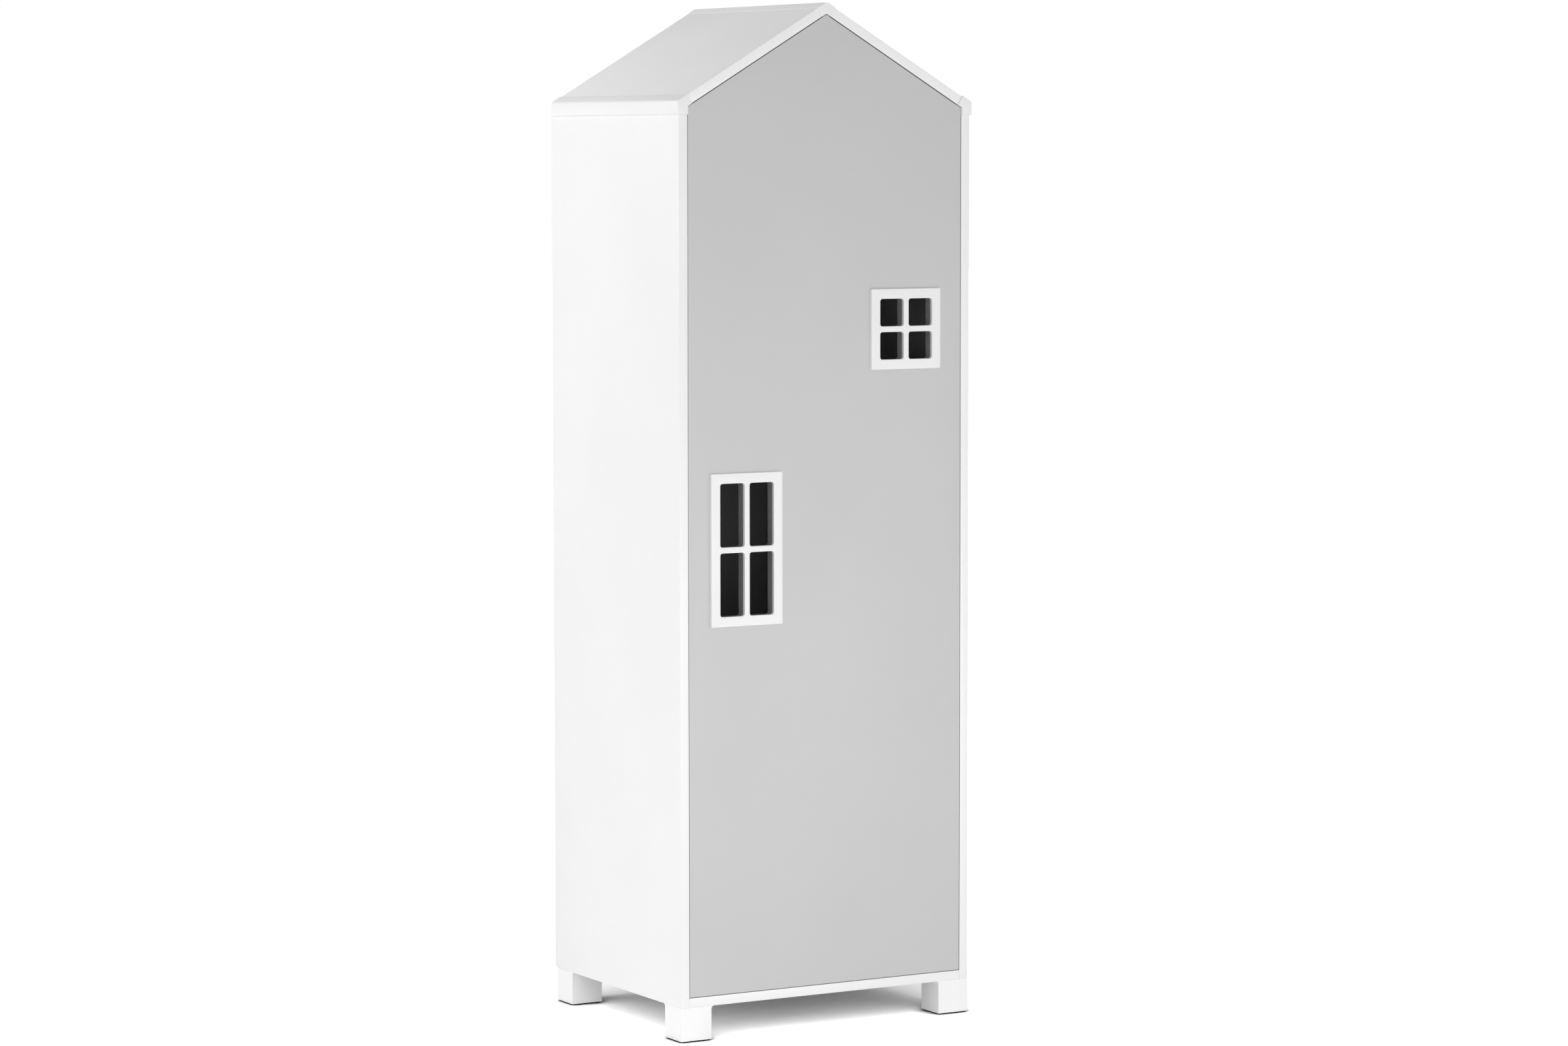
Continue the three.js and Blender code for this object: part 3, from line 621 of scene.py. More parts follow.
# %% Roof boards
seam, seam_radius = 0.0001, 0.0003
length = slope_length - eave_leg - ridge_leg - 2 * seam
mid_x, mid_z = on_slope(eave_leg + seam + length / 2, -board / 2)
centre = Vector((mid_x, (front_y + rear_y) / 2, mid_z))
half = Vector((length / 2, (rear_y - front_y) / 2, board / 2))
right_roof = block("roof_right_board", centre - half, centre + half, turn=pitch)
round_edges(right_roof, seam_radius)
left_roof = mirrored(right_roof, "roof_left_board")


roof_level, roof_end = 0.8, 0.1


def roof_faces(face):
    """Chooses the band where a face is steeper than the slope or looks to the front or rear."""
    if abs(face.normal.z) < roof_level or abs(face.normal.y) > roof_end:
        return 2
    return int(face.normal.z < 0)


for side, piece in (("right", right_roof), ("left", left_roof)):
    done(piece, "carcass", board_finishes, f"roof_panel_{side}", roof_faces)

# %% [markdown]
# ## The eave profiles
#
# At the eaves a lacquered corner profile joins side and roof. Seen from the front it is a short upright leg
# and a short sloping one, with a small radius between them. It starts as a block for the upright leg. The two
# top edges are moved to the mitre, the top face is extruded and its edges are moved to the seam with the roof
# board. The outer corner then gets its 2.5 mm rounding, and the seams and ends small ones.

# %% Eave profiles
def move_edge(piece, start, end):
    """Moves the long edge that runs front to back at one place, x and z, to another."""
    pick(piece, "VERT", lambda v: near(v.x, start[0]) and near(v.z, start[1]))
    bpy.ops.transform.translate(value=(end[0] - start[0], 0, end[1] - start[1]))
    leave()


def along_y(a, b, x, z):
    """True for an edge that runs front to back at this place."""
    return all(near(v.x, x) and near(v.z, z) for v in (a, b))


raw_leg, raw_step, upward = 0.010, 0.004, 0.3
eave_radius, profile_seam_radius, profile_end_radius = 0.0025, 0.0004, 0.0003
profile_low, profile_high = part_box("eave_corner_right")
outer_x = half_width + side_proud
mitre_out = (outer_x, slope_height(outer_x, slope_proud))
mitre_in = (inner_x, slope_height(inner_x, -board))
raw_top = seam_z + raw_leg
right_eave = block("eave_right_profile", (inner_x, profile_low.y, seam_z), (outer_x, profile_high.y, raw_top))
move_edge(right_eave, (outer_x, raw_top), mitre_out)
move_edge(right_eave, (inner_x, raw_top), mitre_in)
pick(right_eave, "FACE", lambda c, n: c.z > raw_top and n.z > upward)
extrude((-raw_step, 0, raw_step))
leave()
for (x, z), out in ((mitre_out, slope_proud), (mitre_in, -board)):
    move_edge(right_eave, (x - raw_step, z + raw_step), on_slope(eave_leg, out))
pick(right_eave, "EDGE", lambda a, b: along_y(a, b, *mitre_out))
bevel(eave_radius, segments=6)
seams = [(outer_x, seam_z), on_slope(eave_leg, slope_proud)]
pick(right_eave, "EDGE", lambda a, b: any(along_y(a, b, *place) for place in seams))
bevel(profile_seam_radius)
pick_sharp(right_eave, lambda a, b: near(a.y, b.y))
bevel(profile_end_radius)
left_eave = mirrored(right_eave, "eave_left_profile")
for side, piece in (("right", right_eave), ("left", left_eave)):
    done(piece, "carcass", [white_lacquer], f"eave_corner_{side}")

# %% [markdown]
# ## The ridge profile
#
# The ridge profile is the same on both sides, so only its right half is shaped: a block whose four long edges
# are moved to the apex, the outer seam, the inner seam and the underside. A mirror modifier adds the other
# half, and a wide bevel rounds the apex until its top is level with the roof's own ridge.

# %% Ridge profile
raw_drop = 0.012
profile_low, profile_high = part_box("ridge_corner")
up = slope_length - ridge_leg
apex = (0.0, ridge_z + ridge_proud / cos(pitch))
under = (0.0, slope_height(0.0, -board))
outer_seam, inner_seam = on_slope(up, ridge_proud), on_slope(up, -board)
raw_width, raw_low = outer_seam[0], ridge_z - raw_drop
ridge = block("ridge_profile", (0, profile_low.y, raw_low), (raw_width, profile_high.y, ridge_z))
move_edge(ridge, (0.0, ridge_z), apex)
move_edge(ridge, (raw_width, ridge_z), outer_seam)
move_edge(ridge, (raw_width, raw_low), inner_seam)
move_edge(ridge, (0.0, raw_low), under)
pick(ridge, "FACE", lambda c, n: near(c.x, 0.0))
bpy.ops.mesh.delete(type="FACE")
leave()
both = ridge.modifiers.new("both_sides", "MIRROR")
both.use_clip = True
bpy.ops.object.modifier_apply(modifier=both.name)
face_outwards(ridge)
ridge_radius = ridge_proud / (1 - cos(pitch))
pick(ridge, "EDGE", lambda a, b: along_y(a, b, *apex))
bevel(ridge_radius * tan(pitch), segments=12)
seams = [(outer_seam[0], outer_seam[1]), (-outer_seam[0], outer_seam[1])]
pick(ridge, "EDGE", lambda a, b: any(along_y(a, b, *place) for place in seams))
bevel(profile_seam_radius)
pick_sharp(ridge, lambda a, b: near(a.y, b.y))
bevel(profile_end_radius)
done(ridge, "carcass", [white_lacquer], "ridge_corner")

# %% [markdown]
# ## The back
#
# The back is a thin board in the shape of a house. A block of its full height loses its two upper corners to
# the roof's slope with a bisect on each side, which fills the cut again.

# %% Back board
def trim_to_roof(piece, out):
    """Cuts both upper corners off along a plane parallel to the roof, this far out of the boards' face."""
    for side in (-1, 1):
        pick_all(piece)
        bpy.ops.mesh.bisect(plane_co=(0, 0, slope_height(0, out)), use_fill=True, clear_outer=True,
                            plane_no=(side * sin(pitch), 0, cos(pitch)))
        leave()


back_below_roof, back_radius = 0.003, 0.0004
low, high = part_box("back_panel")
back = block("back_board", low, high)
trim_to_roof(back, -back_below_roof)
pick(back, "EDGE", in_plane(1, high.y))
bevel(back_radius, segments=2)
done(back, "carcass", [back_inside_painted_shade, back_rear], "back_panel",
     lambda face: int(face.normal.y > straight_on))

# %% [markdown]
# ## The feet
#
# Each foot is a lacquered block. Its two inner sides curve out under the board above in a 5 mm cove, and its
# outer sides run straight up to a fine seam. One foot is modelled: a block is cut with six bisects near its
# top, and each loop's inner sides are pushed out along the curve. The others are its mirror images.

# %% Feet
cove, cove_steps, foot_radius = 0.005, 6, 0.0008
foot_low, foot_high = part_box("foot_front_right")
cove_z = foot_high.z - cove
inside_x, inside_y = foot_low.x + cove, foot_high.y - cove
foot = block("foot_front_right_block", (inside_x, foot_low.y, foot_low.z),
             (foot_high.x, inside_y, foot_high.z))
cove_heights = [cove_z + cove * (1 - (1 - step / cove_steps) ** 2) for step in range(cove_steps + 1)]
for height in cove_heights[:-1]:
    cross_cut(foot, height)
for step in range(1, cove_steps + 1):
    reach = cove * (step / cove_steps) ** 2
    for axis, inside, way in ((0, inside_x, -1), (1, inside_y, 1)):
        pick(foot, "VERT", lambda v: near(v.z, cove_heights[step]) and near(v[axis], inside))
        shift = [0, 0, 0]
        shift[axis] = way * reach
        bpy.ops.transform.translate(value=shift)
        leave()


def upright_corner(a, b):
    """True for an upright edge on the foot's outer sides, or on its inner corner below the cove."""
    if not (near(a.x, b.x) and near(a.y, b.y)) or near(a.z, b.z):
        return False
    return near(a.x, foot_high.x) or near(a.y, foot_low.y) or near(min(a.z, b.z), foot_low.z)


pick(foot, "EDGE", upright_corner)
bevel(foot_radius)
pick(foot, "EDGE", in_plane(2, foot_low.z))
bevel(foot_radius)
print("Foot:", len(foot.data.polygons), "faces")

# %% [markdown]
# The rear feet stand 2 mm in from the floor board's rear edge, so their mirror images are also moved.

# %% Feet in their places
feet = {"front_right": foot, "front_left": mirrored(foot, "foot_front_left_block")}
for side in ("left", "right"):
    rear = mirrored(feet[f"front_{side}"], f"foot_rear_{side}_block", axis=1)
    low_now = min(v.co.y for v in rear.data.vertices)
    rear.location.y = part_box(f"foot_rear_{side}")[0].y - low_now
    settle()
    feet[f"rear_{side}"] = rear
# The feet get the brighter white, which is painted light.
for corner, piece in feet.items():
    done(piece, "carcass", [foot_lacquer_painted_light], f"foot_{corner}")

# %% [markdown]
# ## The glides
#
# Under each foot is a 2 mm plastic disc on a short stub, pressed into the wood. It keeps the foot off the
# floor, which is why a thin dark line shows under each foot. It is a cylinder with a rounded lower edge, and
# its upper face is inset and extruded into the stub.

# %% Glides
disc_top, stub_radius, disc_rounding = 0.002, 0.0025, 0.0006
glide_low, glide_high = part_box("glide_front_left")
disc_radius = (glide_high.x - glide_low.x) / 2
glide = round_block("glide", disc_radius, 0.0, disc_top, steps=48)
pick(glide, "FACE", lambda c, n: n.z > straight_on)
shoulder(disc_radius - stub_radius, glide_high.z - disc_top)
pick(glide, "EDGE", in_plane(2, 0.0))
bevel(disc_rounding)
for corner in corners:
    place = middle(f"glide_{corner}")
    fitted(glide, "disc", (place.x, place.y, 0), 0, "carcass", glide_plastic,
           f"glide_{corner}")
bpy.data.objects.remove(glide)

# %% [markdown]
# ## The door
#
# The door is one board in the shape of the front, 16 mm thick. The gap round it is 0.8 mm at the sides and
# below, and 1.6 mm along the roof. After the two upper corners are cut to the roof's slope, its face edges
# are rounded by 0.8 mm. Eight panes are routed right through it, and three pockets in its right edge take the
# hinges. A pane cutter is a block with four of its edges rounded to the router's radius.

# %% Door board
door_roof_gap, door_face_radius = 0.0016, 0.0008
low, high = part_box("door_panel")
door = block("door_board", low, (high.x, high.y, slope_height(0, -board - door_roof_gap) + overrun))
trim_to_roof(door, -board - door_roof_gap)
pick(door, "EDGE", lambda a, b: near(a.y, b.y))
bevel(door_face_radius, segments=4)
pick(door, "EDGE", front_to_back)
bevel(band_radius)
print("Door before the panes:", len(door.data.polygons), "faces")

# %% [markdown]
# Each window has four panes. A frame's border is 16.5 mm and its bars are 9.5 mm, so the panes' sizes follow
# from the frame's own box. The cut in the door stands back half a millimetre behind the frame's.

# %% Panes
border, bar, pane_radius, reveal = 0.0165, 0.0095, 0.0045, 0.0005
cut_past = 0.002
windows = ("window_frame_square", "window_frame_tall")


def panes_of(node):
    """The lower left corner and the size of each of a window's panes."""
    low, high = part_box(node)
    width = (high.x - low.x - 2 * border - bar) / 2
    height = (high.z - low.z - 2 * border - bar) / 2
    return [(low.x + border + i * (width + bar), low.z + border + k * (height + bar), width, height)
            for i in (0, 1) for k in (0, 1)]


panes = [pane for node in windows for pane in panes_of(node)]
cutters = []
for x, z, width, height in panes:
    tool = block("pane_cutter", (x - reveal, low.y - cut_past, z - reveal),
                 (x + width + reveal, high.y + cut_past, z + height + reveal))
    pick(tool, "EDGE", front_to_back)
    bevel(pane_radius + reveal, segments=8)
    cutters.append(tool)
cutters += [pocket(f"hinge_case_door_{n}") for n in hinge_numbers]
cut_out(door, cutters)


sideways, margin = 0.5, 2 * reveal


def in_pane(face):
    """1 for a wall of a pane, 0 for the rest of the door."""
    c = face.center
    return int(abs(face.normal.y) <= sideways
               and any(x - margin < c.x < x + width + margin and z - margin < c.z < z + height + margin
                       for x, z, width, height in panes))


# The panes' walls get the darker grey, which is painted shade.
done(door, "door", [grey_lacquer, pane_wall_painted_shade], "door_panel", in_pane)

# %% [markdown]
# ## The window frames
#
# A frame is cut from 6 mm board and glued on the door. It starts as a plane at the frame's size. An inset
# leaves the outer part of the border, a subdivide makes four fields, and an inset of each field leaves the
# bars. The fields are deleted, the rest is extruded back to the door, and the pane corners, the outer corners
# and the front rims are rounded.

# %% Window frames
frame_corner_radius, front_rim_radius = 0.0015, 0.0005
for node in windows:
    low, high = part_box(node)
    size = high - low
    centre = (low + high) / 2
    window = primitive(bpy.ops.mesh.primitive_plane_add, node + "_lacquered", size=1,
                       location=(centre.x, low.y, centre.z), rotation=(pi / 2, 0, 0),
                       scale=(size.x, size.z, 1))
    pick_all(window)
    bpy.ops.mesh.inset(thickness=border - bar / 2)
    bpy.ops.mesh.subdivide(number_cuts=1)
    bpy.ops.mesh.inset(thickness=bar / 2, use_individual=True)
    bpy.ops.mesh.delete(type="FACE")
    bpy.ops.mesh.select_all(action="SELECT")
    extrude((0, size.y, 0))
    face_outwards(window)

    def on_outside(v):
        return near(v.x, low.x) or near(v.x, high.x)

    pick_sharp(window, lambda a, b: not near(a.y, b.y) and not on_outside(a))
    bevel(pane_radius, segments=8)
    pick(window, "EDGE", lambda a, b: not near(a.y, b.y) and on_outside(a)
         and (near(a.z, low.z) or near(a.z, high.z)))
    bevel(frame_corner_radius, segments=4)
    pick_sharp(window, in_plane(1, low.y))
    bevel(front_rim_radius)
    done(window, "door", [white_lacquer], node)

# %% [markdown]
# ## The shelf
#
# The shelf is one more board, grey on both faces, which is painted shade, 0.3 mm short of the sides at
# each end, on four pins.

# %% Shelf
low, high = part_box("shelf")
shelf = block("shelf_board", low, high)
round_edges(shelf)
done(shelf, "carcass", board_finishes, "shelf",
     lambda face: 1 if abs(face.normal.z) > straight_on else 2)

# %% [markdown]
# ## Screws and bolts
#
# A countersunk screw is turned from wire: a conical head, flush on top, and a shank. A punch leaves a cross
# or a six-sided socket in the head, which is what shows when it is driven in. Each kind is made once, upright
# at the origin: a cone for the head, its lower face extruded into the shank, and a boolean for the recess.

# %% Screw maker
head_rounding = 0.0002


def countersunk(name, shank, head, reach, recess):
    """A screw with the top of its head at the origin and its tip below. recess makes the cutters."""
    taper = head - shank
    screw = round_block(name, shank, -taper, 0, top_radius=head, steps=40)
    pick(screw, "FACE", lambda c, n: n.z < -straight_on)
    extrude((0, 0, taper - reach))
    pick(screw, "EDGE", in_plane(2, 0.0))
    bevel(head_rounding, segments=2)
    for tool in recess():
        cut_out(screw, [tool])
    return screw


def cross_recess(width=0.0007, span=0.0034, depth=0.0012):
    bars = [(span / 2, width / 2), (width / 2, span / 2)]
    return [block("cross_bar", (-x, -y, -depth), (x, y, overrun)) for x, y in bars]


def hexagon_recess(across=0.005, depth=0.003):
    return [round_block("hexagon", across / 2 / cos(pi / 6), -depth, overrun, steps=6)]


bolt_shank = 0.004
bolt_low, bolt_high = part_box("foot_bolt_front_left")
bolt = countersunk("foot_bolt", bolt_shank, (bolt_high.x - bolt_low.x) / 2, bolt_high.z - bolt_low.z,
                   hexagon_recess)
for corner in corners:
    place = middle(f"foot_bolt_{corner}")
    fitted(bolt, "hexagon", (place.x, place.y, floor_top), 0, "carcass", plated_steel,
           f"foot_bolt_{corner}")
bpy.data.objects.remove(bolt)

# %% [markdown]
# ## The concealed hinges
#
# Each hinge has a case let into the side, a case let into the door's edge, and a bent steel link that slides
# in both as the door turns about the middle of the gap. A case is a plate with a rounded upper end and a box
# behind the rest of it. The plate is a block, cut across with a bisect at the box's top, and the lower part
# of its back is extruded into the box. The link's channel is cut with a band made by spinning a rectangle
# about the door's axis.

# %% Hinge links
axis_x, axis_y = frame["joints"][0]["pos_m"][:2]
link_radius, link_thickness, half_angle = 0.011, 0.003, radians(68)
link_rounding, weld = 0.0003, 0.00001


def bent_band(name, thickness, height, start, end, z, steps=20):
    """A rectangle spun about the door's axis from one angle to another, measured from +X."""
    band = primitive(bpy.ops.mesh.primitive_plane_add, name, size=1, location=(link_radius, 0, 0),
                     rotation=(pi / 2, 0, 0), scale=(thickness, height, 1))
    pick_all(band)
    bpy.ops.mesh.spin(steps=steps, angle=end - start, center=(0, 0, 0), axis=(0, 0, 1))
    bpy.ops.mesh.select_all(action="SELECT")
    bpy.ops.mesh.remove_doubles(threshold=weld)
    face_outwards(band)
    turned_back = sum(v.co.y for v in band.data.vertices) < 0
    band.rotation_euler.z = end if turned_back else start
    band.location = (axis_x, axis_y, z)
    settle()
    return band


link_heights = {n: middle(f"hinge_link_{n}").z for n in hinge_numbers}
for n, z in link_heights.items():
    low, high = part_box(f"hinge_link_{n}")
    link = bent_band(f"hinge_link_{n}_spun", link_thickness, high.z - low.z, pi / 2 - half_angle,
                     pi / 2 + half_angle, z)
    pick_sharp(link)
    bevel(link_rounding, segments=2)
    done(link, "hinge_links", [pin_steel], f"hinge_link_{n}")

# %% [markdown]
# The two cases of a hinge mirror each other across the gap. The screw through the plate is the same for both.
# A case's channel begins 19 degrees behind the boards' front and runs a little past the gap's middle.

# %% Hinge cases
plate, channel_room, case_corner_radius = 0.002, 0.0002, 0.003
channel_start, channel_past = radians(19), 0.02
screw_shank, screw_seat_low, screw_seat_top, screw_seat_depth = 0.0017, 0.0036, 0.0038, 0.0018
link_low, link_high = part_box("hinge_link_1")
screw_low, screw_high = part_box("hinge_screw_side_1")
hinge_screw = countersunk("hinge_screw", screw_shank, (screw_high.z - screw_low.z) / 2,
                          screw_high.x - screw_low.x, cross_recess)


def hinge_case(n, place, body, way):
    """The case and its screw on the side or the door, which lies this way from the gap along X."""
    node = f"hinge_case_{place}_{n}"
    low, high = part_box(node)
    face_x, deep_x = (low.x, high.x) if way > 0 else (high.x, low.x)
    back_x = face_x + way * plate
    box_top = 2 * link_heights[n] - low.z
    xs = sorted((face_x, back_x))
    case = block(node + "_plate", (xs[0], low.y, low.z), (xs[1], high.y, high.z))
    cross_cut(case, box_top)
    pick(case, "FACE", lambda c, normal: near(c.x, back_x) and c.z < box_top)
    extrude((deep_x - back_x, 0, 0))
    at_top = in_plane(2, high.z)
    pick(case, "EDGE", lambda a, b: not near(a.x, b.x, plate / 2) and at_top(a, b))
    bevel(case_corner_radius, segments=6)
    span = (channel_start, pi / 2 + channel_past) if way > 0 else (pi / 2 - channel_past, pi - channel_start)
    channel = bent_band("channel", link_thickness + channel_room, link_high.z - link_low.z + channel_room,
                        *span, link_heights[n])
    screw = middle(f"hinge_screw_{place}_{n}")
    seat = round_block("seat", screw_seat_low, -screw_seat_depth, seat_lip, top_radius=screw_seat_top)
    seat.rotation_euler.y = -way * pi / 2
    seat.location = (face_x, screw.y, screw.z)
    settle()
    cut_out(case, [channel, seat])
    done(case, body, [nickel], node)
    fitted(hinge_screw, "cross", (face_x, screw.y, screw.z), -way * pi / 2, body, plated_steel,
           f"hinge_screw_{place}_{n}")


for n in hinge_numbers:
    hinge_case(n, "side", "carcass", 1)
    hinge_case(n, "door", "door", -1)
bpy.data.objects.remove(hinge_screw)

# %% [markdown]
# ## The clothes rail and its sockets
#
# The rail is a chromed steel tube, and each end sits in a die-cast cup fixed to the side. The tube is a
# cylinder without its end faces, and a Solidify modifier gives it its wall. A cup is one cylinder for the
# flange, whose face is inset and extruded into the rim, and then inset and pushed back in for the tube.

# %% Rail
rail_wall = 0.0012
low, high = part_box("clothes_rail")
rail_y, rail_z, rail_radius = (low.y + high.y) / 2, (low.z + high.z) / 2, (high.z - low.z) / 2
rail = primitive(bpy.ops.mesh.primitive_cylinder_add, "clothes_rail_tube", vertices=64, radius=rail_radius,
                 depth=high.x - low.x, end_fill_type="NOTHING", location=(0, rail_y, rail_z),
                 rotation=(0, pi / 2, 0))
wall = rail.modifiers.new("wall", "SOLIDIFY")
wall.thickness = rail_wall
wall.offset = -1
bpy.ops.object.modifier_apply(modifier=wall.name)
done(rail, "carcass", [chrome], "clothes_rail")

# %% [markdown]
# The cup is made upright at the origin, with its flange on the board, and turned to face the middle. Its
# flange and rim are rounded, but not the edges deep in the hole, which are nearer to the middle than 13.5 mm.

# %% Rail sockets
cup_low, cup_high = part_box("rail_socket_right")
flange_radius, flange, rim_radius = (cup_high.z - cup_low.z) / 2, 0.003, 0.016
tube_room, hole_edges, cup_rounding = 0.0003, 0.0135, 0.0006
rim = cup_high.x - cup_low.x
cup = round_block("cup", flange_radius, 0, flange, steps=64)
pick(cup, "FACE", lambda c, n: n.z > straight_on)
shoulder(flange_radius - rim_radius, rim - flange)
shoulder(rim_radius - rail_radius - tube_room, flange - rim)
leave()
pick_sharp(cup, lambda a, b: not near(a.z, 0) and a.to_2d().length > hole_edges)
bevel(cup_rounding)
for side, name in ((-1, "left"), (1, "right")):
    fitted(cup, "cup", (side * inner_x, rail_y, rail_z), -side * pi / 2, "carcass", cast_zinc,
           f"rail_socket_{name}")
bpy.data.objects.remove(cup)

# %% [markdown]
# ## Shelf pins
#
# A shelf pin is a short turned peg: its thin end goes into a 5 mm hole in the side and its thick end carries
# the shelf. It is a cylinder whose end face is inset and extruded, with rounded rims.

# %% Shelf pins
shank_radius, pin_rounding, pin_clear = 0.0025, 0.0005, 0.0003
pin_low, pin_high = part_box("shelf_pin_front_right")
head_radius = (pin_high.z - pin_low.z) / 2
pin = round_block("pin", head_radius, pin_clear, inner_x - pin_low.x, steps=40)
pick(pin, "FACE", lambda c, n: n.z < -straight_on)
shoulder(head_radius - shank_radius, inner_x - pin_high.x)
leave()
pick_sharp(pin, lambda a, b: a.to_2d().length > shank_radius + pin_rounding)
bevel(pin_rounding)
for end in ("front", "rear"):
    for side, name in ((-1, "left"), (1, "right")):
        place = middle(f"shelf_pin_{end}_{name}")
        fitted(pin, "peg", (side * inner_x, place.y, place.z), -side * pi / 2, "carcass",
               plated_steel, f"shelf_pin_{end}_{name}")
bpy.data.objects.remove(pin)

# %% [markdown]
# ## Catch, strike plate, stop and bumper
#
# Under the shelf a moulded housing holds a magnet between two steel plates, whose ends show in its face, and
# a small steel plate on the door meets them. On the floor board a moulded block stops the door, which touches
# it with a rubber button. All start as blocks or a cylinder with rounded edges.

# %% Magnetic catch
catch_radius, plate_inset_x, plate_inset_z = 0.001, 0.006, 0.004
slot_depth, half_slot = 0.001, 0.0009
low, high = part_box("magnetic_catch")
catch = block("magnetic_catch_housing", low, high)
round_edges(catch, catch_radius)
plate_ends = low.x + plate_inset_x, high.x - plate_inset_x
cut_out(catch, [block("slot", (plate_ends[0], low.y - slot_depth, z - half_slot),
                      (plate_ends[1], low.y + slot_depth, z + half_slot))
                for z in (low.z + plate_inset_z, high.z - plate_inset_z)])


def steel_in_slot(face):
    c = face.center
    return int(near(c.y, low.y + slot_depth) and plate_ends[0] < c.x < plate_ends[1])


done(catch, "carcass", [white_plastic, pin_steel], "magnetic_catch", steel_in_slot)

# %% Strike plate
strike_radius, recess_depth = 0.0015, 0.0008
low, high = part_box("strike_plate")
strike = block("strike_plate_steel", low, high)
pick(strike, "EDGE", lambda a, b: not near(a.y, b.y))
bevel(strike_radius, segments=5)
for tool in cross_recess(depth=recess_depth):
    tool.rotation_euler.x = -pi / 2
    tool.location = ((low.x + high.x) / 2, high.y, (low.z + high.z) / 2)
    only(tool)
    settle()
    cut_out(strike, [tool])
done(strike, "door", [plated_steel], "strike_plate")

# %% Door stop
stop_radius, screw_inset, hole_radius, hole_top, hole_depth = 0.0015, 0.010, 0.0018, 0.0034, 0.004
low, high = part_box("door_stop")
stop = block("door_stop_block", low, high)
round_edges(stop, stop_radius)
cut_out(stop, [round_block("seat", hole_radius, high.z - hole_depth, high.z + seat_lip, x,
                           (low.y + high.y) / 2, hole_top)
               for x in (low.x + screw_inset, high.x - screw_inset)])
done(stop, "carcass", [white_plastic], "door_stop")

# %% Bumper
bumper_rounding = 0.001
low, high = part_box("stop_bumper")
bumper = primitive(bpy.ops.mesh.primitive_cylinder_add, "stop_bumper_button", vertices=48,
                   radius=(high.x - low.x) / 2, depth=high.y - low.y, location=(low + high) / 2,
                   rotation=(pi / 2, 0, 0))
pick(bumper, "EDGE", in_plane(1, high.y))
bevel(bumper_rounding, segments=4)
done(bumper, "door", [rubber], "stop_bumper")

# %% [markdown]
# ## The cam fittings
#
# The cams and their bolts are hidden in the floor board, apart from the cams' faces below. Their CAD shapes
# are right as they are, cross slot included, so they only get their finishes. A CAD shape itself is never
# changed.

# %% Finishes for the cam fittings
painted = 0
for name, node in frame["nodes"].items():
    if name.startswith("cam_"):
        node.data.materials.clear()
        node.data.materials.append(pin_steel if name.startswith("cam_bolt") else cast_zinc)
        painted += 1
print("Cam fittings with a finish:", painted)

# %% [markdown]
# ## Floor, world and lamps
#
# The wardrobe stands on white ground that has no end, as in a catalogue. For the camera and for reflections
# the floor's colour is over white, so that it shows as plain white where the light is full and keeps the soft
# shadow. The photograph's shadow is deep under the cabinet and round the feet, and it leans to the right and
# to the rear, away from the light. So two ambient occlusion nodes deepen it there. One looks 60 cm towards
# the light, at the front left, for the cabinet, and one looks 2 cm upwards for the feet. A Mix Shader gives
# that floor to the eye and to reflections, and every other ray meets an ordinary pale floor. The world is
# white to the eye too. It lights the scene like a white room with a window wall in front, brighter towards
# -Y.

# %% Floor
floor_size = 80.0
ground = primitive(bpy.ops.mesh.primitive_plane_add, "ground", size=floor_size)


def seen_directly(tree):
    """1 for what the camera sees, itself, mirrored or through glass, and 0 for light that only bounces."""
    path = add_node(tree, "LightPath")
    first = add_node(tree, "Math", {"operation": "MAXIMUM"},
                     {0: path.outputs["Is Camera Ray"], 1: path.outputs["Is Glossy Ray"]})
    return add_node(tree, "Math", {"operation": "MAXIMUM"},
                    {0: first.outputs["Value"], 1: path.outputs["Is Transmission Ray"]}).outputs["Value"]


paper = bpy.data.materials.new("white_studio_ground")
paper.use_nodes = True
tree = paper.node_tree
tree.nodes.clear()
ground_level, seen_level, feet_contrast = 0.90, 3.1, 2.5


def openness(reach, samples, towards=(0.0, 0.0, 1.0)):
    """How open the floor is on one side within this reach: 1 in the open and 0 where all is closed."""
    way = add_node(tree, "CombineXYZ", dict(zip("XYZ", Vector(towards).normalized())))
    return add_node(tree, "AmbientOcclusion", {"samples": samples, "Distance": reach},
                    {"Normal": way.outputs["Vector"]}).outputs["AO"]


open_sky = openness(reach=0.60, samples=16, towards=(-0.9, -0.8, 0.45))
under_cabinet = add_node(tree, "MapRange", {"From Min": 0.25, "From Max": 0.88}, {"Value": open_sky})
beside_feet = add_node(tree, "Math", {"operation": "POWER", 1: feet_contrast},
                       {0: openness(reach=0.02, samples=6)})
shadow = add_node(tree, "Math", {"operation": "MULTIPLY"},
                  {0: under_cabinet.outputs["Result"], 1: beside_feet.outputs["Value"]})
seen = add_node(tree, "Math", {"operation": "MULTIPLY", 1: seen_level}, {0: shadow.outputs["Value"]})
for_camera = add_node(tree, "BsdfDiffuse", None, {"Color": seen.outputs["Value"]})
for_bounces = add_node(tree, "BsdfDiffuse", {"Color": [ground_level] * 3 + [1]})
matt = add_node(tree, "MixShader", None,
                {0: seen_directly(tree), 1: for_bounces.outputs["BSDF"], 2: for_camera.outputs["BSDF"]})
add_node(tree, "OutputMaterial", None, {"Surface": matt.outputs["Shader"]})
ground.data.materials.append(paper)

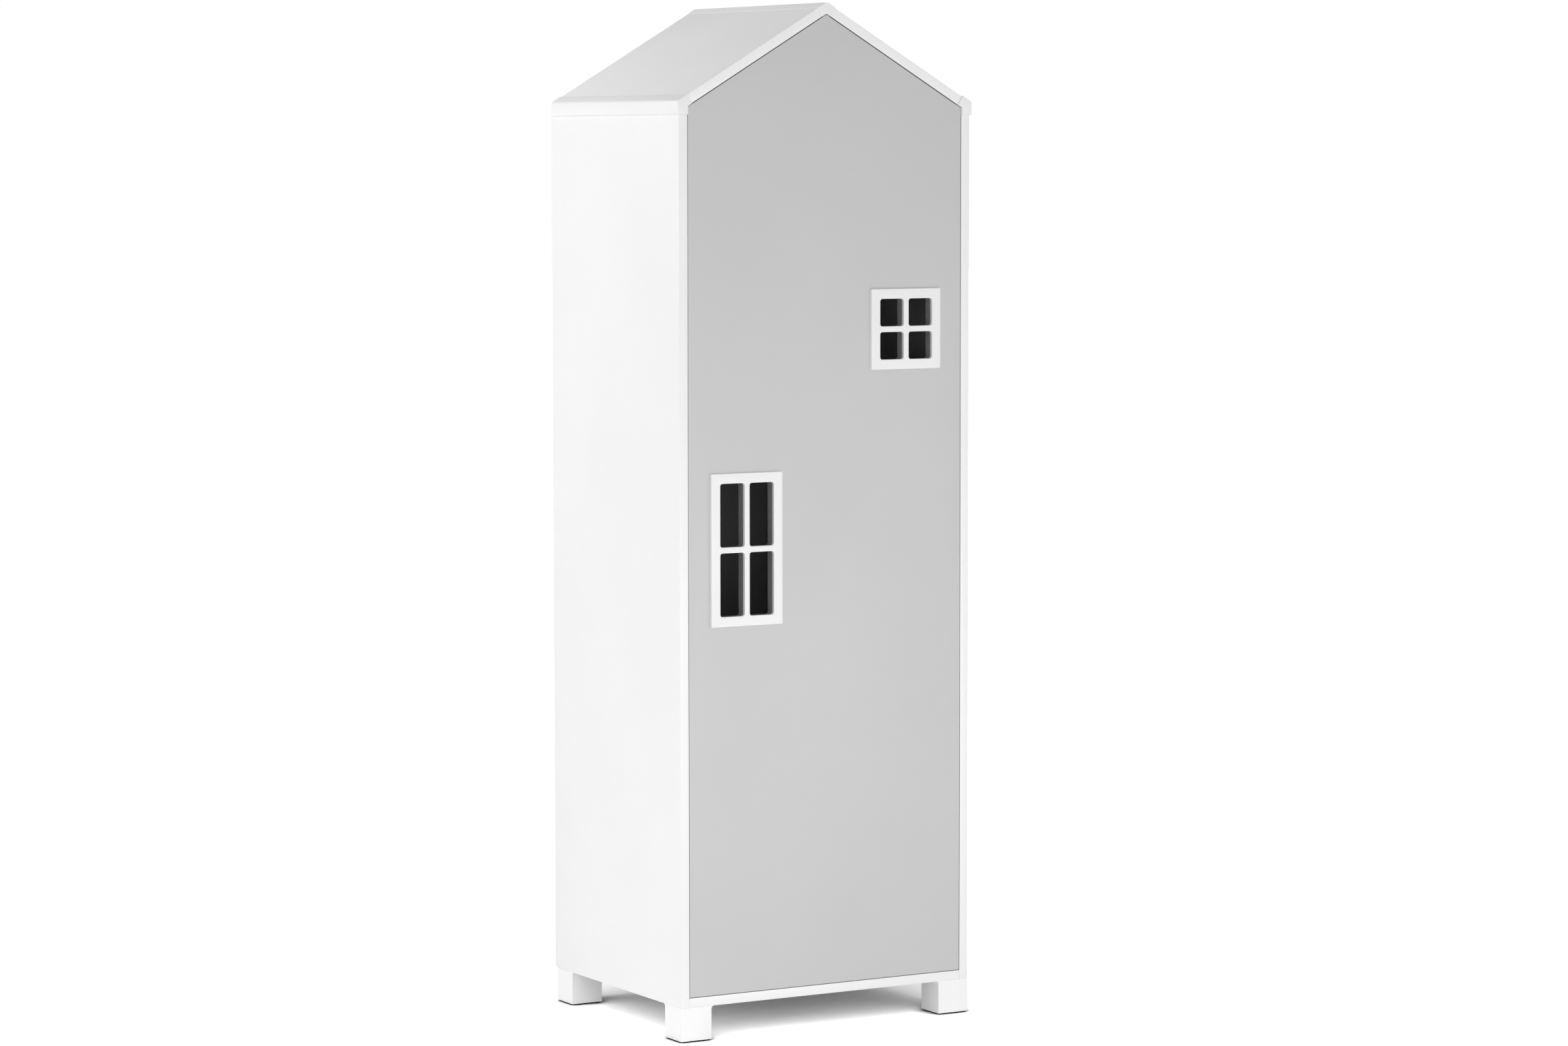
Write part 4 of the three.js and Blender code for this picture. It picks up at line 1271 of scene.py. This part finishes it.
# %% World
room_level, window_level = 0.41, 0.50
world = bpy.data.worlds.new("white_room")
bpy.context.scene.world = world
world.use_nodes = True
tree = world.node_tree
tree.nodes.clear()
direction = add_node(tree, "TexCoord").outputs["Generated"]
to_front = add_node(tree, "VectorMath", {"operation": "DOT_PRODUCT", 1: (0, -1, 0)}, {0: direction})
facing = add_node(tree, "Math", {"operation": "MAXIMUM", 1: 0.0}, {0: to_front.outputs["Value"]})
room = add_node(tree, "Math", {"operation": "MULTIPLY_ADD", 1: window_level, 2: room_level},
                {0: facing.outputs["Value"]})
level = add_node(tree, "Mix", {"data_type": "FLOAT", 3: 1.0},
                 {0: seen_directly(tree), 2: room.outputs["Value"]})
sky = add_node(tree, "Background", {"Color": (1, 1, 1, 1)}, {"Strength": level.outputs[0]})
add_node(tree, "OutputWorld", None, {"Surface": sky.outputs["Background"]})

# %% [markdown]
# The lamps are five weak soft boxes, mostly low: one to the left, one by the left eave, and three in front.
# In the photograph the left side is the brightest face, the foot of the front is brighter than its top, and
# the roof is darkest. Their levels were solved against some ninety places on the photograph.

# %% Lamps
def soft_box(name, place, aim, size, power):
    light = bpy.data.lights.new(name, "AREA")
    light.shape = "SQUARE"
    light.size = size
    light.energy = power
    lamp = bpy.data.objects.new(name, light)
    lamp.location = place
    lamp.rotation_euler = (Vector(aim) - Vector(place)).to_track_quat("-Z", "Y").to_euler()
    bpy.context.scene.collection.objects.link(lamp)


soft_box("left_low_soft_box", (-2.0, 0.2, 0.4), aim=(0, 0, 0.4), size=1.2, power=9.2)
soft_box("left_eave_soft_box", (-1.2, 0.5, 1.8), aim=(-0.28, 0.1, 1.5), size=0.8, power=4.6)
soft_box("front_low_soft_box", (-1.6, -3.0, 0.5), aim=(0, -0.2, 0.5), size=1.2, power=6.5)
soft_box("front_soft_box", (-1.2, -2.8, 0.9), aim=(0, -0.2, 0.8), size=1.4, power=9.2)
soft_box("front_right_soft_box", (0.6, -2.4, 0.3), aim=(0, -0.2, 0.3), size=1.0, power=9.2)

# %% [markdown]
# ## The picture's colours
#
# The picture is shown without any grading, so that a colour comes out as it is written.

# %% Colour management
bpy.context.scene.view_settings.view_transform = "Standard"
